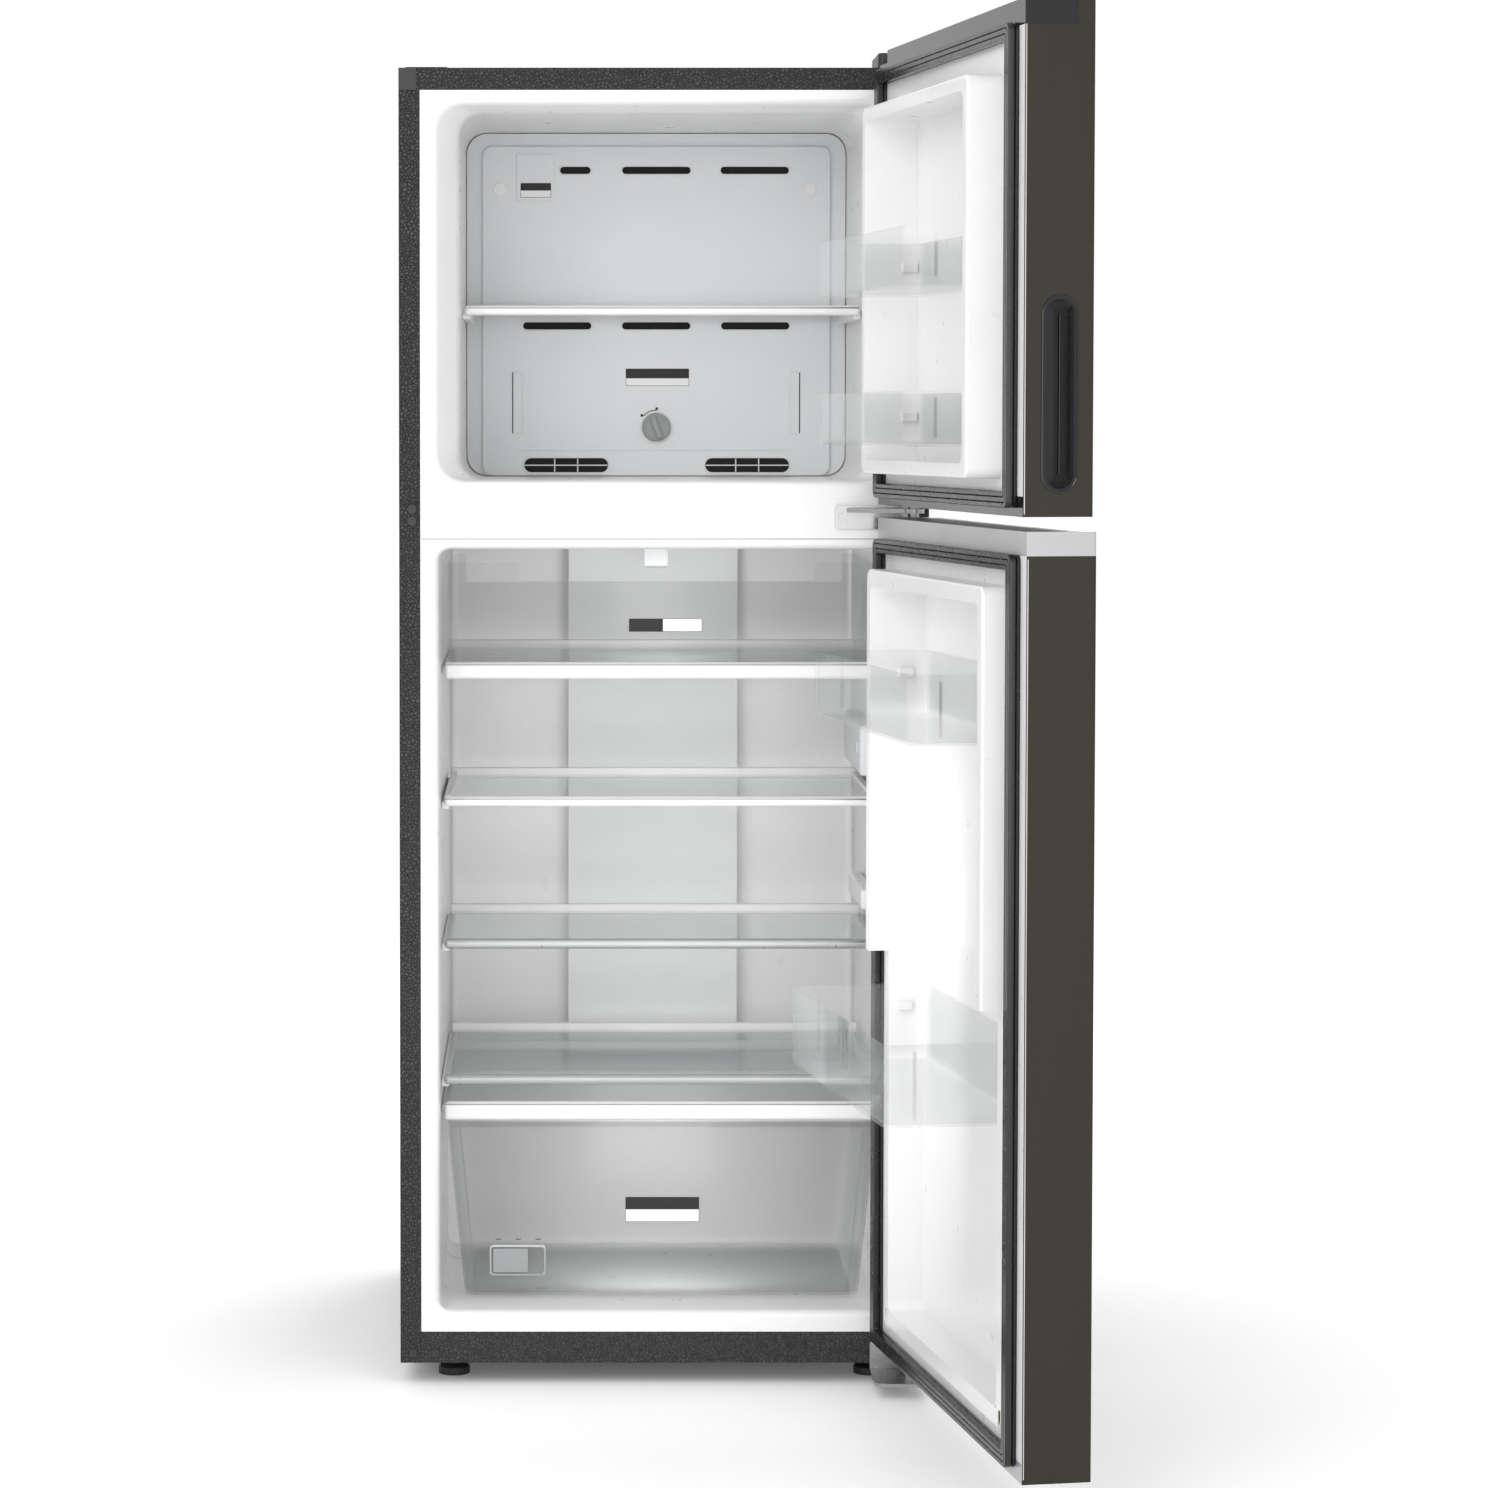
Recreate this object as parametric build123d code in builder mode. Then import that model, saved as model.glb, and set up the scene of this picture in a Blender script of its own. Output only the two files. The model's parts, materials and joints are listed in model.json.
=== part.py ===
from build123d import *
from math import cos, radians, sin
import os

# ---------------------------------------------------------------------------
# Driving dimensions, in millimetres. The model is laid out with X = 0 at the
# cabinet's centre, Y = 0 at its front and Z = 0 at the floor, doors closed.
# Each piece is then moved to the stored pose, with both doors open.
# ---------------------------------------------------------------------------

# cabinet
cabinet_width = 600.0
cabinet_depth = 625.0
cabinet_height = 1473.0
foot_height = 25.0
steel = 0.6
plastic = 1.5
hairline = 0.1
side_lip = 24.0
top_lip = 25.0
rail_height = 36.0
fridge_front = 905.0
mullion_height = 61.0
wrapper_corner = 5.0
skin_corner = 3.0

# fridge compartment
fridge_wall = 45.0
fridge_floor_lip = 24.0
fridge_ceiling_lip = 11.0
fridge_back_foam = 103.5
step_depth = 148.5
step_rise = 215.0
fridge_corner = 8.0

# freezer compartment
freezer_wall = 69.0
freezer_flare = 23.0
flare_depth = 40.0
freezer_floor_lip = 6.0
freezer_ceiling_lip = 16.0
flare_rise = 7.0
freezer_back_foam = 125.0
freezer_corner = 25.0
cover_stand_off = 155.0

# doors
door_gap = 12.0
door_thickness = 71.0
door_side_gap = 2.0
door_split_height = 33.5
door_split_gap = 14.3
freezer_door_rise = 13.1
fridge_door_drop = 28.0
freezer_swing = 98.9
fridge_swing = 99.3
hinge_inset = 19.0
hinge_depth = 37.0
pin_radius = 5.0
running_gap = 0.05
cap_height = 26.0
fridge_cap_height = 24.0
cap_edge_depth = 53.0

# gaskets and door liners
gasket_inset = 20.0
gasket_width = 16.0
gasket_height = 11.7
freezer_dyke_inset = 75.0
freezer_dyke_width = 15.0
freezer_dyke_height = 38.0
freezer_recess = 22.0
fridge_dyke_inset = 60.0
fridge_dyke_width = 18.0
fridge_dyke_height = 28.0
fridge_recess = 35.0
low_dyke_height = 5.0
fridge_dyke_end = 447.0
dyke_corner = 12.0

# handle pocket
pocket_length = 189.0
pocket_rise = 25.4
pocket_width = 33.0
pocket_offset = 20.0
pocket_depth = 38.0

# bins, shelves and drawers
clear_wall = 2.5
bin_clearance = 8.0
bin_corner = 14.0
glass = 4.0
shelf_clearance = 4.0
shelf_trim_depth = 12.0
drawer_clearance = 7.0
lug = 6.5

# running gear
foot_radius = 18.0
foot_inset = 60.0
stud_radius = 5.0
roller_radius = 11.0
roller_width = 18.0
axle_radius = 3.0
roller_back = 65.0

# ---------------------------------------------------------------------------
# Derived places
# ---------------------------------------------------------------------------
half_width = cabinet_width / 2
underside = foot_height
cabinet_top = underside + cabinet_height
rail_top = underside + rail_height
mullion_low = rail_top + fridge_front
mullion_high = mullion_low + mullion_height
freezer_front_top = cabinet_top - top_lip
flange_half = half_width - side_lip
pan_top = underside + 2 * steel
back_face = cabinet_depth - steel

fridge_half = half_width - fridge_wall
fridge_floor = rail_top + fridge_floor_lip
fridge_ceiling = mullion_low - fridge_ceiling_lip
fridge_back = cabinet_depth - fridge_back_foam - plastic
step_front = fridge_back - step_depth
step_top = fridge_floor + step_rise

freezer_half = half_width - freezer_wall
mouth_half = freezer_half + freezer_flare
freezer_floor = mullion_high + freezer_floor_lip
mouth_top = freezer_front_top - freezer_ceiling_lip
freezer_ceiling = mouth_top - flare_rise
freezer_back = cabinet_depth - freezer_back_foam
cover_front = freezer_back - cover_stand_off

door_half = half_width - door_side_gap
door_inner = -door_gap
door_outer = -door_gap - door_thickness
door_split = mullion_low + door_split_height
freezer_door_low = door_split + door_split_gap / 2
freezer_door_high = cabinet_top + freezer_door_rise
fridge_door_low = underside + fridge_door_drop
fridge_door_high = door_split - door_split_gap / 2
hinge_x = door_half - hinge_inset
hinge_y = door_inner - hinge_depth


def swung_corners(swing):
    """Plan corners of a door after it has turned by swing about the hinge axis."""
    turn = radians(swing)
    corners = []
    for x in (-door_half - hinge_x, door_half - hinge_x):
        for y in (door_inner - hinge_y, door_outer - hinge_y):
            corners.append(
                (hinge_x + x * cos(turn) - y * sin(turn), hinge_y + x * sin(turn) + y * cos(turn))
            )
    return corners


reach = swung_corners(freezer_swing) + swung_corners(fridge_swing)
centre_x = (max(x for x, y in reach) - half_width) / 2
centre_y = (min(y for x, y in reach) + cabinet_depth) / 2

cabinet_home = Location((-centre_x, -centre_y, 0))
hinge_place = Location((hinge_x, hinge_y, 0))
hinge_return = Location((-hinge_x, -hinge_y, 0))
freezer_home = cabinet_home * hinge_place * Location((0, 0, 0), (0, 0, freezer_swing)) * hinge_return
fridge_home = cabinet_home * hinge_place * Location((0, 0, 0), (0, 0, fridge_swing)) * hinge_return

os.makedirs("parts", exist_ok=True)


def finish(piece, label, home=cabinet_home):
    """Move a finished piece to its stored place, label it and write its file."""
    piece.part.move(home)
    piece.part.label = label
    export_step(piece.part, f"parts/{label}.step")


def block(x, y, z, mode=Mode.ADD):
    """Box between two limits along each axis, inside the part being built."""
    with Locations(((x[0] + x[1]) / 2, (y[0] + y[1]) / 2, (z[0] + z[1]) / 2)):
        Box(x[1] - x[0], y[1] - y[0], z[1] - z[0], mode=mode)


def foam_block(x, y, z):
    """Block of insulation, with a hairline left around it so that it stays its own solid."""
    block(
        (x[0] + hairline, x[1] - hairline),
        (y[0] + hairline, y[1] - hairline),
        (z[0] + hairline, z[1] - hairline),
    )


def both_sides(x, y, z, mode=Mode.ADD):
    """The same box on the right and, mirrored, on the left."""
    block(x, y, z, mode)
    block((-x[1], -x[0]), y, z, mode)


# ---------------------------------------------------------------------------
# Cabinet shell
# ---------------------------------------------------------------------------

# Painted steel sheet bent over both sides and the top, with folded front lips
with BuildPart() as outer_wrapper:
    with BuildSketch(Plane.XZ):
        with Locations((0, underside)):
            Rectangle(cabinet_width, cabinet_height, align=(Align.CENTER, Align.MIN))
        fillet(vertices().group_by(Axis.Y)[-1], wrapper_corner)
        offset(amount=-steel, kind=Kind.INTERSECTION, mode=Mode.SUBTRACT)
        with Locations((0, underside)):
            Rectangle(cabinet_width - 2 * steel, 2 * steel, mode=Mode.SUBTRACT)
    extrude(amount=-cabinet_depth)
    with BuildSketch(Plane.XZ):
        with Locations((0, underside)):
            Rectangle(cabinet_width, cabinet_height, align=(Align.CENTER, Align.MIN))
        fillet(vertices().group_by(Axis.Y)[-1], wrapper_corner)
        with Locations((0, underside)):
            Rectangle(
                2 * flange_half,
                cabinet_height - top_lip,
                align=(Align.CENTER, Align.MIN),
                mode=Mode.SUBTRACT,
            )
    extrude(amount=-steel)
finish(outer_wrapper, "outer_wrapper")

machine_top = step_top - plastic - 50.0
machine_front = step_front + plastic + 50.0

# Flat steel sheet that closes the back above the machine compartment
with BuildPart() as back_sheet:
    block(
        (-half_width + steel, half_width - steel),
        (back_face, cabinet_depth),
        (machine_top, cabinet_top - steel),
    )
finish(back_sheet, "back_sheet")

foot_x = half_width - foot_inset
foot_y = foot_inset
roller_y = cabinet_depth - roller_back
fork_gap = roller_width / 2 + 1.0
fork_wall = 2.0

# Steel pan under the cabinet: front rail, foot holes and roller forks with their axles
with BuildPart() as base_pan:
    block((-half_width + steel, half_width - steel), (steel, cabinet_depth), (underside, pan_top))
    block((-flange_half, flange_half), (0, steel), (underside, rail_top))
    for side in (-1, 1):
        with Locations((side * foot_x, foot_y, underside)):
            Cylinder(stud_radius + running_gap, 3 * pan_top, mode=Mode.SUBTRACT)
        for cheek in (-1, 1):
            cheek_x = side * foot_x + cheek * (fork_gap + fork_wall / 2)
            block(
                (cheek_x - fork_wall / 2, cheek_x + fork_wall / 2),
                (roller_y - 10, roller_y + 10),
                (roller_radius - 7, underside),
            )
        with Locations(Location((side * foot_x, roller_y, roller_radius), (0, 90, 0))):
            Cylinder(axle_radius, 2 * (fork_gap + fork_wall))
finish(base_pan, "base_pan")

# Foamed-in insulation, cut into the straight blocks that fill each wall
with BuildPart() as cabinet_foam:
    outer_x = half_width - steel
    fridge_x = fridge_half + plastic
    mouth_x = mouth_half + plastic
    freezer_x = freezer_half + plastic
    foam_y = (plastic, back_face)
    foam_top = cabinet_top - steel
    freezer_bed = freezer_floor - plastic
    mouth_roof = mouth_top + plastic
    for side in (-1, 1):
        for inner, depth, height in (
            (fridge_x, foam_y, (pan_top, mullion_low)),
            (mouth_x, foam_y, (mullion_low, foam_top)),
        ):
            ends = sorted((side * inner, side * outer_x))
            foam_block(ends, depth, height)
        ends = sorted((side * freezer_x, side * mouth_x))
        foam_block(ends, (flare_depth + plastic, back_face), (freezer_bed, mouth_roof))
    foam_block((-mouth_x, mouth_x), foam_y, (mouth_roof, foam_top))
    foam_block((-fridge_x, fridge_x), foam_y, (fridge_ceiling + plastic, mullion_low))
    foam_block((-mouth_x, mouth_x), foam_y, (mullion_low, freezer_bed))
    foam_block((-freezer_x, freezer_x), (freezer_back + plastic, back_face), (freezer_bed, mouth_roof))
    foam_block(
        (-fridge_x, fridge_x),
        (fridge_back + plastic, back_face),
        (step_top - plastic, fridge_ceiling + plastic),
    )
    foam_block((-fridge_x, fridge_x), (plastic, step_front + plastic), (pan_top, fridge_floor - plastic))
    foam_block((-fridge_x, fridge_x), (step_front + plastic, machine_front), (pan_top, step_top - plastic))
    foam_block((-fridge_x, fridge_x), (machine_front, back_face), (machine_top, step_top - plastic))
    top_edges = edges().filter_by(Axis.Y).group_by(Axis.Z)[-1].sort_by(Axis.X)
    chamfer((top_edges[0], top_edges[-1]), wrapper_corner - steel)
finish(cabinet_foam, "cabinet_foam")

# ---------------------------------------------------------------------------
# Liners
# ---------------------------------------------------------------------------


def freezer_space(wall):
    """Freezer cavity with its flared mouth, grown outwards by a wall."""
    with BuildPart() as space:
        with BuildSketch(Plane.XZ):
            with Locations((0, (freezer_floor + mouth_top) / 2)):
                RectangleRounded(
                    2 * (mouth_half + wall), mouth_top - freezer_floor + 2 * wall, freezer_corner + wall
                )
        with BuildSketch(Plane.XZ.offset(-flare_depth)):
            with Locations((0, (freezer_floor + freezer_ceiling) / 2)):
                RectangleRounded(
                    2 * (freezer_half + wall),
                    freezer_ceiling - freezer_floor + 2 * wall,
                    freezer_corner + wall,
                )
        loft()
        extrude(space.faces().sort_by(Axis.Y)[-1], amount=freezer_back - flare_depth + wall)
    return space.part


def fridge_space(wall):
    """Fridge cavity with the step over the machine compartment, grown by a wall."""
    low = fridge_floor - wall
    high = fridge_ceiling + wall
    front = step_front + wall
    back = fridge_back + wall
    with BuildPart() as space:
        with BuildSketch(Plane.YZ):
            with BuildLine():
                Polyline(
                    (0, low),
                    (front, low),
                    (front, step_top - wall),
                    (back, step_top - wall),
                    (back, high),
                    (0, high),
                    close=True,
                )
            make_face()
        extrude(amount=fridge_half + wall, both=True)
        fillet(space.edges().filter_by(Axis.Y), fridge_corner)
    return space.part


shelf_space = fridge_half - shelf_clearance
ledge = 10.0
ledge_drop = 0.3
upper_shelf_height = 581.0
middle_shelf_height = 416.0
lower_shelf_height = 262.0
chiller_height = 735.0
freezer_shelf_height = 199.0
trim_drop = 6.0

# place, front, back: tops of the three glass shelves above the fridge floor
fridge_shelves = (
    ("fridge_shelf_upper", fridge_floor + upper_shelf_height, 68.0, 390.0),
    ("fridge_shelf_middle", fridge_floor + middle_shelf_height, 68.0, 359.0),
    ("fridge_shelf_lower", fridge_floor + lower_shelf_height, 45.0, 409.0),
)
chiller_top = fridge_floor + chiller_height
chiller_front = 88.0
chiller_back = 460.0
crisper_lid_top = step_top + 14.0
crisper_front = 59.0
freezer_shelf_top = freezer_floor + freezer_shelf_height
freezer_shelf_front = 90.0
freezer_shelf_back = cover_front - 10.0


def ledges(half, top, front, back):
    """Pair of moulded ledges under one shelf, stopping short of its front trim."""
    under = top - glass - ledge_drop
    both_sides((half - ledge, half), (front + shelf_trim_depth + 2, back), (under - ledge, under))


wall_box_depth = 17.0
return_box_low = fridge_floor + 437.0

# Vacuum-formed white liner of the freezer
with BuildPart() as freezer_liner:
    block((-flange_half, flange_half), (0, plastic), (mullion_high, freezer_front_top))
    add(freezer_space(plastic))
    add(freezer_space(0), mode=Mode.SUBTRACT)
    ledges(freezer_half, freezer_shelf_top, freezer_shelf_front, freezer_shelf_back)
finish(freezer_liner, "freezer_liner")

# Vacuum-formed white liner of the fridge, with shelf ledges and a wall box
with BuildPart() as fridge_liner:
    block((-flange_half, flange_half), (0, plastic), (rail_top, mullion_low))
    add(fridge_space(plastic))
    add(fridge_space(0), mode=Mode.SUBTRACT)
    for name, top, front, back in fridge_shelves:
        ledges(fridge_half, top, front, back)
    ledges(fridge_half, chiller_top, chiller_front, chiller_back)
    ledges(fridge_half, crisper_lid_top, crisper_front, step_front - 20)
    block((fridge_half - wall_box_depth, fridge_half), (180, 370), (return_box_low, return_box_low + 25))
finish(fridge_liner, "fridge_liner")

# White strip across the front between the two compartments
with BuildPart() as mullion_cover:
    block((-flange_half, flange_half), (0, plastic), (mullion_low, mullion_high))
finish(mullion_cover, "mullion_cover")

# Black plastic cap over the wrapper's top left corner
with BuildPart() as corner_cap:
    cap_skin = 0.8
    block((-half_width, -half_width + 20), (-cap_skin, 0), (freezer_front_top, cabinet_top))
    block((-half_width + 8, -half_width + 55), (0, 34), (cabinet_top, cabinet_top + cap_skin))
    block((-half_width + 8, -half_width + 20), (-cap_skin, 0), (cabinet_top, cabinet_top + cap_skin))
finish(corner_cap, "corner_cap")

# ---------------------------------------------------------------------------
# Hinges
# ---------------------------------------------------------------------------
plate = 3.0
arm_half = 11.0
screw_radius = 2.5
screw_head = 4.5
head_height = 2.5
pin_length = 10.0
top_screws = [(hinge_x - 22, 24), (hinge_x + 4, 24), (hinge_x - 9, 70)]
centre_plate_x = (hinge_x - 86, hinge_x - 11)
centre_plate_z = (door_split - 21.5, door_split + 5.5)
centre_screws = [(centre_plate_x[0] + 9, door_split - 8), (centre_plate_x[0] + 60, door_split - 14)]
arm_thickness = 5.0
bracket_x = (hinge_x - 43, half_width)
bracket_z = (foot_height - 10, foot_height + 25)
bottom_screws = [(bracket_x[0] + 10, underside + 18), (bracket_x[1] - 10, underside + 18)]


def pin(low, high, mode=Mode.ADD, radius=pin_radius):
    """Cylinder on the hinge axis between two heights."""
    with Locations((hinge_x, hinge_y, (low + high) / 2)):
        Cylinder(radius, high - low, mode=mode)


# Steel plate on the cabinet's top with an arm and a pin down into the freezer door
with BuildPart() as top_hinge:
    block((hinge_x - 32, hinge_x + 14), (6, 90), (cabinet_top, cabinet_top + plate))
    block((hinge_x - arm_half, hinge_x + arm_half), (hinge_y, 6), (cabinet_top, cabinet_top + plate))
    pin(cabinet_top, cabinet_top + plate, radius=arm_half)
    pin(cabinet_top - pin_length, cabinet_top)
    for x, y in top_screws:
        with Locations((x, y, cabinet_top + plate / 2)):
            Cylinder(screw_radius, 2 * plate, mode=Mode.SUBTRACT)
finish(top_hinge, "top_hinge")

# Black plastic cover over the top hinge plate, open below and towards the arm
with BuildPart() as hinge_cover:
    cover_high = cabinet_top + 17
    block((hinge_x - 38, half_width - 1), (3, 96), (cabinet_top, cover_high))
    fillet(edges().filter_by(Axis.Z), 6)
    fillet(faces().sort_by(Axis.Z)[-1].edges(), 2)
    block((hinge_x - 36, half_width - 3), (5, 94), (cabinet_top, cover_high - 2), mode=Mode.SUBTRACT)
    arm_slot = (cabinet_top, cabinet_top + plate + 1)
    block((hinge_x - arm_half - 1, hinge_x + arm_half + 1), (2, 6), arm_slot, mode=Mode.SUBTRACT)
finish(hinge_cover, "hinge_cover")

# Bright steel plate on the front strip, with an arm between the doors and two pins
with BuildPart() as center_hinge:
    arm_z = (door_split - arm_thickness / 2, door_split + arm_thickness / 2)
    block(centre_plate_x, (-plate, 0), centre_plate_z)
    fillet(edges().filter_by(Axis.Y), 3)
    with BuildSketch(Plane.XY.offset(arm_z[0])):
        with BuildLine():
            Polyline(
                (centre_plate_x[0] + 14, -plate),
                (centre_plate_x[1], -plate),
                (hinge_x + arm_half, hinge_y + 8),
                (hinge_x + arm_half, hinge_y),
                (hinge_x - arm_half, hinge_y),
                (centre_plate_x[0] + 14, -plate - 6),
                close=True,
            )
        make_face()
    extrude(amount=arm_thickness)
    pin(*arm_z, radius=arm_half)
    pin(arm_z[1], arm_z[1] + pin_length + door_split_gap / 2)
    pin(arm_z[0] - pin_length - door_split_gap / 2, arm_z[0])
    for x, z in centre_screws:
        with Locations(Location((x, -plate / 2, z), (90, 0, 0))):
            Cylinder(screw_radius, 2 * plate, mode=Mode.SUBTRACT)
finish(center_hinge, "center_hinge")

# Bright steel bracket under the fridge door, with a washer boss and a pin
with BuildPart() as bottom_hinge:
    block(bracket_x, (-plate, 0), bracket_z)
    block(bracket_x, (hinge_y - 26, 0), (bracket_z[0], bracket_z[0] + 4))
    fillet(edges().filter_by(Axis.Z).sort_by(Axis.Y)[:2], 12)
    pin(bracket_z[0] + 4, fridge_door_low - 0.3, radius=9)
    pin(fridge_door_low - 0.3, fridge_door_low + pin_length + 4)
    for x, z in bottom_screws:
        with Locations(Location((x, -plate / 2, z), (90, 0, 0))):
            Cylinder(screw_radius, 2 * plate, mode=Mode.SUBTRACT)
finish(bottom_hinge, "bottom_hinge")

# Screws of the three hinges: a pan head on a shank that fills the plate's hole
with BuildPart() as hinge_screws:
    shank = screw_radius - running_gap
    for x, y in top_screws:
        with Locations((x, y, cabinet_top + plate + head_height / 2)):
            Cylinder(screw_head, head_height)
        with Locations((x, y, cabinet_top + plate / 2)):
            Cylinder(shank, plate)
    for x, z in centre_screws + bottom_screws:
        with Locations(Location((x, -plate - head_height / 2, z), (90, 0, 0))):
            Cylinder(screw_head, head_height)
        with Locations(Location((x, -plate / 2, z), (90, 0, 0))):
            Cylinder(shank, plate)
finish(hinge_screws, "hinge_screws")

cover_half = freezer_half - 20
cover_low = freezer_floor + 1
cover_high_z = freezer_ceiling - 17
cover_plug_z = cover_high_z - 51
plug_height = 1.2

# Snap-in plugs: two on the freezer cover, five in spare screw holes on the front
with BuildPart() as hole_plugs:
    for x in (-190, 187):
        with Locations(Location((x, cover_front - plug_height / 2, cover_plug_z), (90, 0, 0))):
            Cylinder(7.5, plug_height)
    for x, z, radius in (
        (-206, door_split - 10, 6.0),
        (-half_width + 14.5, door_split + 1, 5.5),
        (-half_width + 14.5, door_split - 12.5, 5.5),
        (-half_width + 14.5, underside + 11, 5.0),
        (-half_width + 39.6, underside + 11, 5.0),
    ):
        with Locations(Location((x, -plug_height / 2, z), (90, 0, 0))):
            Cylinder(radius, plug_height)
finish(hole_plugs, "hole_plugs")

# ---------------------------------------------------------------------------
# Cooling system
# ---------------------------------------------------------------------------
dial_z = freezer_floor + 60
dial_radius = 17.0
shaft_radius = 4.0
fan_z = cover_high_z - 80
fan_radius = 44.0
cover_wall = 3.0
cover_gap = 0.8
panel_proud = 5.0

# Moulded cover in front of the evaporator, with air slots, grilles and the dial's hole
with BuildPart() as evaporator_cover:
    with BuildSketch(Plane.XZ.offset(-cover_front)):
        with Locations((0, (cover_low + cover_high_z) / 2)):
            Rectangle(2 * cover_half, cover_high_z - cover_low)
        fillet(vertices(), 12)
    extrude(amount=-panel_proud)
    with BuildSketch(Plane.XZ.offset(-cover_front - panel_proud)):
        with Locations((0, (freezer_floor + freezer_ceiling) / 2)):
            RectangleRounded(
                2 * (freezer_half - cover_gap),
                freezer_ceiling - freezer_floor - 2 * cover_gap,
                freezer_corner,
            )
    extrude(amount=-cover_wall)
    block(
        (-cover_half + cover_wall, cover_half - cover_wall),
        (cover_front + cover_wall, cover_front + panel_proud + cover_wall),
        (cover_low + cover_wall, cover_high_z - cover_wall),
        mode=Mode.SUBTRACT,
    )
    with BuildSketch(Plane.XZ.offset(-cover_front)):
        for centre, length, drop in (
            (-98.5, 37, 28.5), (0, 83, 28.5), (119.5, 83, 28.5),
            (-120.5, 83, 217), (0, 83, 217), (120.5, 83, 217),
        ):
            with Locations((centre, cover_high_z - drop)):
                SlotOverall(length, 9)
        with Locations((0, dial_z)):
            Circle(shaft_radius + running_gap)
        for centre in (-109.5, 111):
            with GridLocations(25.2, 8.4, 4, 2):
                with Locations((centre, cover_low + 14)):
                    Rectangle(22.2, 6.4)
    extrude(amount=-cover_wall, mode=Mode.SUBTRACT)
finish(evaporator_cover, "evaporator_cover")

# Blank cover over the place for an ice maker
with BuildPart() as icemaker_cover:
    with BuildSketch(Plane.XZ.offset(-cover_front + 1.5)):
        with Locations((-147, cover_high_z - 37.5)):
            RectangleRounded(46, 57, 2)
    extrude(amount=-1.5)
finish(icemaker_cover, "icemaker_cover")

evaporator_y = cover_front + 62

# Finned aluminium evaporator with its defrost heater tube below
with BuildPart() as evaporator:
    for level in range(3):
        tube_z = freezer_floor + 110 + 40 * level
        with Locations(Location((0, evaporator_y, tube_z), (0, 90, 0))):
            Cylinder(4, 380)
    for fin in range(18):
        fin_x = -170 + 20 * fin
        block(
            (fin_x - 0.5, fin_x + 0.5),
            (evaporator_y - 26, evaporator_y + 26),
            (freezer_floor + 90, freezer_floor + 210),
        )
    with Locations(Location((0, evaporator_y, freezer_floor + 70), (0, 90, 0))):
        Cylinder(5, 360)
finish(evaporator, "evaporator")

# Fan motor on its stem, behind the blade
with BuildPart() as fan_motor:
    with Locations(Location((0, cover_front + 62, fan_z), (90, 0, 0))):
        Cylinder(22, 40)
    with Locations(Location((0, cover_front + 34, fan_z), (90, 0, 0))):
        Cylinder(3, 24)
finish(fan_motor, "fan_motor")

# Five-bladed evaporator fan, bored for the motor's stem
with BuildPart() as evaporator_fan:
    with Locations(Location((0, cover_front + 30, fan_z), (90, 0, 0))):
        Cylinder(13, 14)
    for blade in range(5):
        with Locations(
            Location((0, cover_front + 30, fan_z), (0, 72 * blade, 0))
            * Location((fan_radius / 2 + 5, 0, 0), (35, 0, 0))
        ):
            Box(fan_radius - 10, 1.6, 14)
    with Locations(Location((0, cover_front + 30, fan_z), (90, 0, 0))):
        Cylinder(3 + running_gap, 30, mode=Mode.SUBTRACT)
finish(evaporator_fan, "evaporator_fan")

# Cold-control dial: knob, shaft through the cover and the damper vane on its end
with BuildPart() as freezer_dial:
    with Locations(Location((0, cover_front - 4.3, dial_z), (90, 0, 0))):
        Cylinder(dial_radius, 8)
    fillet(faces().sort_by(Axis.Y)[0].edges(), 1.5)
    block(
        (-3, 3),
        (cover_front - 12.3, cover_front - 8.3),
        (dial_z - dial_radius + 2, dial_z + dial_radius - 2),
    )
    with Locations(Location((0, cover_front + 3, dial_z), (90, 0, 0))):
        Cylinder(shaft_radius, 12)
    block((-18, 18), (cover_front + 9, cover_front + 11), (dial_z - 4, dial_z + 18))
finish(freezer_dial, "freezer_dial")

duct_half = 106.0
duct_front = fridge_back - 37

# Air duct panel on the fridge's back wall, hollow behind, with side outlets above each shelf
with BuildPart() as air_duct:
    duct_z = (step_top + 2, fridge_ceiling - 8)
    block((-duct_half, duct_half), (duct_front, fridge_back), duct_z)
    block(
        (-duct_half + 2, duct_half - 2),
        (duct_front + 2, fridge_back),
        (duct_z[0] + 2, duct_z[1] - 2),
        mode=Mode.SUBTRACT,
    )
    for name, top, front, back in fridge_shelves:
        block(
            (-duct_half - 1, duct_half + 1),
            (duct_front + 12, duct_front + 32),
            (top + 40, top + 48),
            mode=Mode.SUBTRACT,
        )
finish(air_duct, "air_duct")

# Lens of the interior lamp, hanging from the fridge ceiling
with BuildPart() as lamp_lens:
    block((-14, 14), (335, 353), (fridge_ceiling - 33, fridge_ceiling))
    fillet(faces().sort_by(Axis.Z)[0].edges(), 3)
finish(lamp_lens, "lamp_lens")

button_radius = 7.0
button_y = 240.0
button_z = fridge_floor + 625.0
button_face = fridge_half - wall_box_depth

# Control box on the right wall, bored for the temperature button
with BuildPart() as control_box:
    block((button_face, fridge_half), (200, 450), (button_z - 30, button_z + 30))
    fillet(faces().sort_by(Axis.X)[0].edges(), 5)
    with Locations(Location((button_face + 5, button_y, button_z), (0, 90, 0))):
        Cylinder(button_radius + 0.3, 12, mode=Mode.SUBTRACT)
finish(control_box, "control_box")

# Temperature button, pressed into the control box
with BuildPart() as temperature_button:
    with Locations(Location((button_face + 3, button_y, button_z), (0, 90, 0))):
        Cylinder(button_radius, 9)
    fillet(faces().sort_by(Axis.X)[0].edges(), 1)
finish(temperature_button, "temperature_button")

compressor_x = -100.0
compressor_y = (machine_front + cabinet_depth) / 2
grommet_height = 15.0
deck = pan_top + grommet_height

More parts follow.
